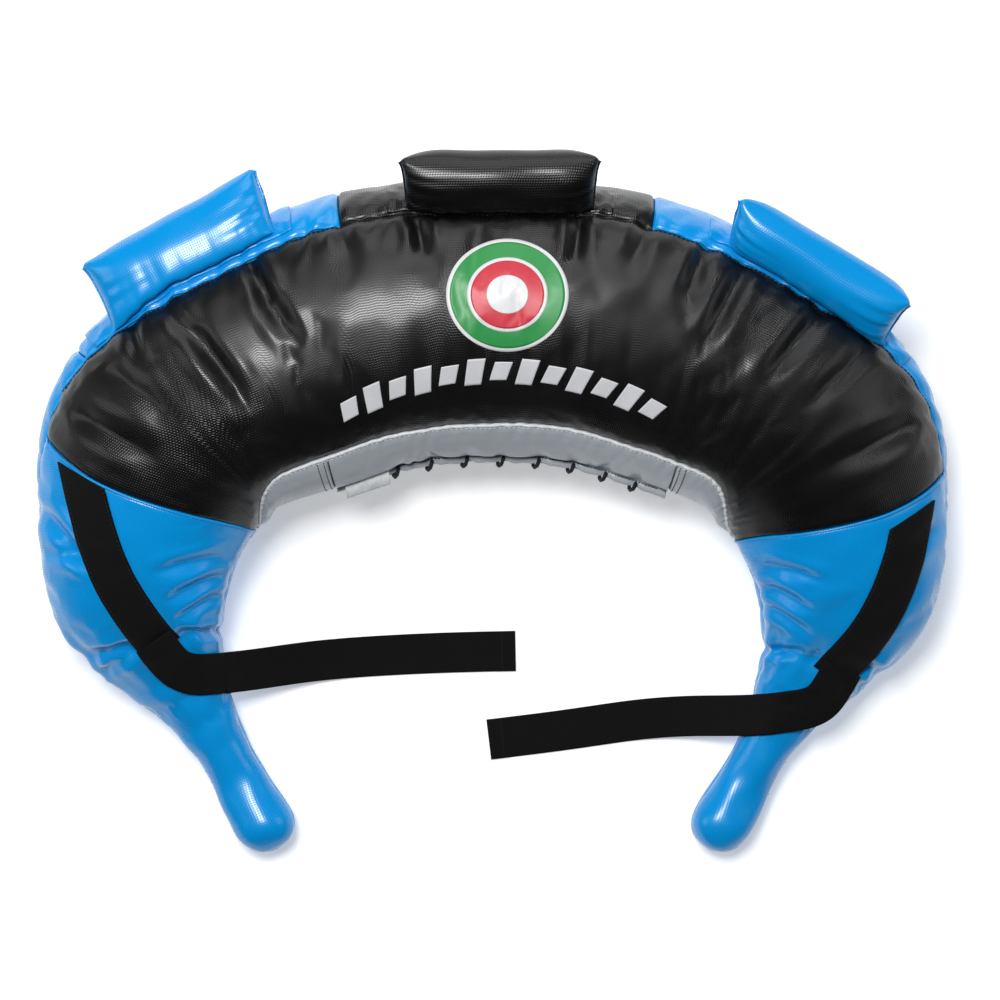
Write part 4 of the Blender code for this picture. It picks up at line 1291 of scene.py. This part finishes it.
rings = ((1.0, badge_white), (0.94, badge_green), (0.66, badge_white), (0.60, badge_red), (0.34, badge_white))
for i, (share, finish) in enumerate(rings):
    film(f"badge_ring_{i + 1}", *badge_disc(BADGE_RADIUS * share), finish, (0.30 + 0.22 * i) * MM)

MARKS, MARK_RADIUS, MARK_CENTRE_X, MARK_CENTRE_Y = 13, 0.2250, 0.006, -0.1286
for i, turn in enumerate(np.linspace(-math.radians(28.0), math.radians(28.0), MARKS)):
    along, up = np.meshgrid(np.linspace(-1, 1, 12), np.linspace(-1, 1, 14), indexing="ij")
    spread = turn + along * math.radians(1.55) + up * math.radians(0.55)
    out = MARK_RADIUS + up * (0.0088 if i % 2 else 0.0062)
    x, y = MARK_CENTRE_X + out * np.sin(spread), MARK_CENTRE_Y + out * np.cos(spread)
    film(f"silver_mark_{i + 1}", x, y, silver_ink, 0.35 * MM)

# %% [markdown]
# ## What is inside
# The sand bags, foam and stuffing hardly ever show, but they keep their CAD shapes and get plain woven or
# fibrous finishes, so that an opened bag looks right.

# %% Inner finishes
def fibre(name, colour, worn, pitch):
    """Crossed threads from two sines of the place, roughened by a noise."""
    finish = Finish(name, 0.92)
    place = finish.node("ShaderNodeTexCoord").outputs["Object"]
    split = finish.node("ShaderNodeSeparateXYZ", Vector=place)
    x, y, z = (finish.value(split.outputs[i]) for i in range(3))
    threads = (x + z).wave(pitch) * (y - z).wave(pitch)
    fuzz = finish.noise(place, 400.0, 4.0)
    finish.blend_colours((threads * 0.5 + fuzz * 0.5).clamp(), colour, worn)
    finish.feed(finish.shader.inputs["Roughness"], (0.8 + fuzz * 0.18).clamp())
    finish.bumps(threads + fuzz * 0.6, 0.2 * MM)
    return finish.material


inner_finishes = {
    "sand_bag": fibre("sand canvas", (0.42, 0.34, 0.22), (0.54, 0.45, 0.32), 1.4 * MM),
    "core": fibre("foam", (0.40, 0.38, 0.34), (0.48, 0.46, 0.42), 0.9 * MM),
    "stuffing": fibre("stuffing", (0.56, 0.52, 0.44), (0.66, 0.62, 0.54), 2.2 * MM),
    "neck_tie": black_cord,
}
for name, node in frame["nodes"].items():
    for part, finish in inner_finishes.items():
        if part in name:
            node.data.materials.clear()
            node.data.materials.append(finish)
print(len(frame["nodes"]), "CAD nodes have a finish or a piece that stands for them")

# %% [markdown]
# ## Floor, light and camera
# The floor is plain and nearly white. A soft key light hangs high over the bag, and three weaker ones stand
# behind it and at its sides. The camera looks straight down through a long lens.

# %% Stage
floor_finish = Finish("floor", 0.9, Specular_IOR_Level=0.1, Emission_Color=(1, 1, 1, 1),
                      Emission_Strength=0.40)
floor_place = floor_finish.node("ShaderNodeTexCoord").outputs["Object"]
floor_finish.blend_colours(floor_finish.noise(floor_place, 3.0), (0.86, 0.86, 0.87), (0.88, 0.88, 0.88))
floor_points = np.stack(np.meshgrid([-4.0, 4.0], [-4.0, 4.0], [0.0]), -1).reshape(2, 2, 3)[::-1]
floor = cloth_object("floor", floor_points, floor_finish.material, thickness=0)


def area_light(name, place, aim, size, power, colour=(1, 1, 1)):
    """A square soft light of that size in metres, turned towards the point that it aims at."""
    data = bpy.data.lights.new(name, "AREA")
    data.shape, data.size, data.energy, data.color = "SQUARE", size, power, colour
    made = bpy.data.objects.new(name, data)
    made.location = place
    made.rotation_euler = (Vector(aim) - Vector(place)).to_track_quat("-Z", "Y").to_euler()
    bpy.context.scene.collection.objects.link(made)


area_light("key light", (-0.32, 0.55, 2.4), (0, 0, 0.05), 0.6, 44)
area_light("back light", (0.1, 2.0, 1.1), (0, 0, 0.05), 1.3, 12)
area_light("left light", (-1.7, 0.2, 1.2), (0, 0, 0.05), 0.9, 5)
area_light("right light", (1.7, 0.4, 1.2), (0, 0, 0.05), 0.9, 4)
world = bpy.data.worlds.new("studio")
world.use_nodes = True
world.node_tree.nodes["Background"].inputs["Color"].default_value = (1, 1, 1, 1)
world.node_tree.nodes["Background"].inputs["Strength"].default_value = 0.04
bpy.context.scene.world = world

camera_data = bpy.data.cameras.new("camera")
camera_data.lens, camera_data.sensor_width = 105, 36
camera = bpy.data.objects.new("camera", camera_data)
camera.location = (0.0054, 0.0065, 2.1 + 0.075)
bpy.context.scene.collection.objects.link(camera)
bpy.context.scene.camera = camera
bpy.context.scene.view_settings.view_transform = "Standard"
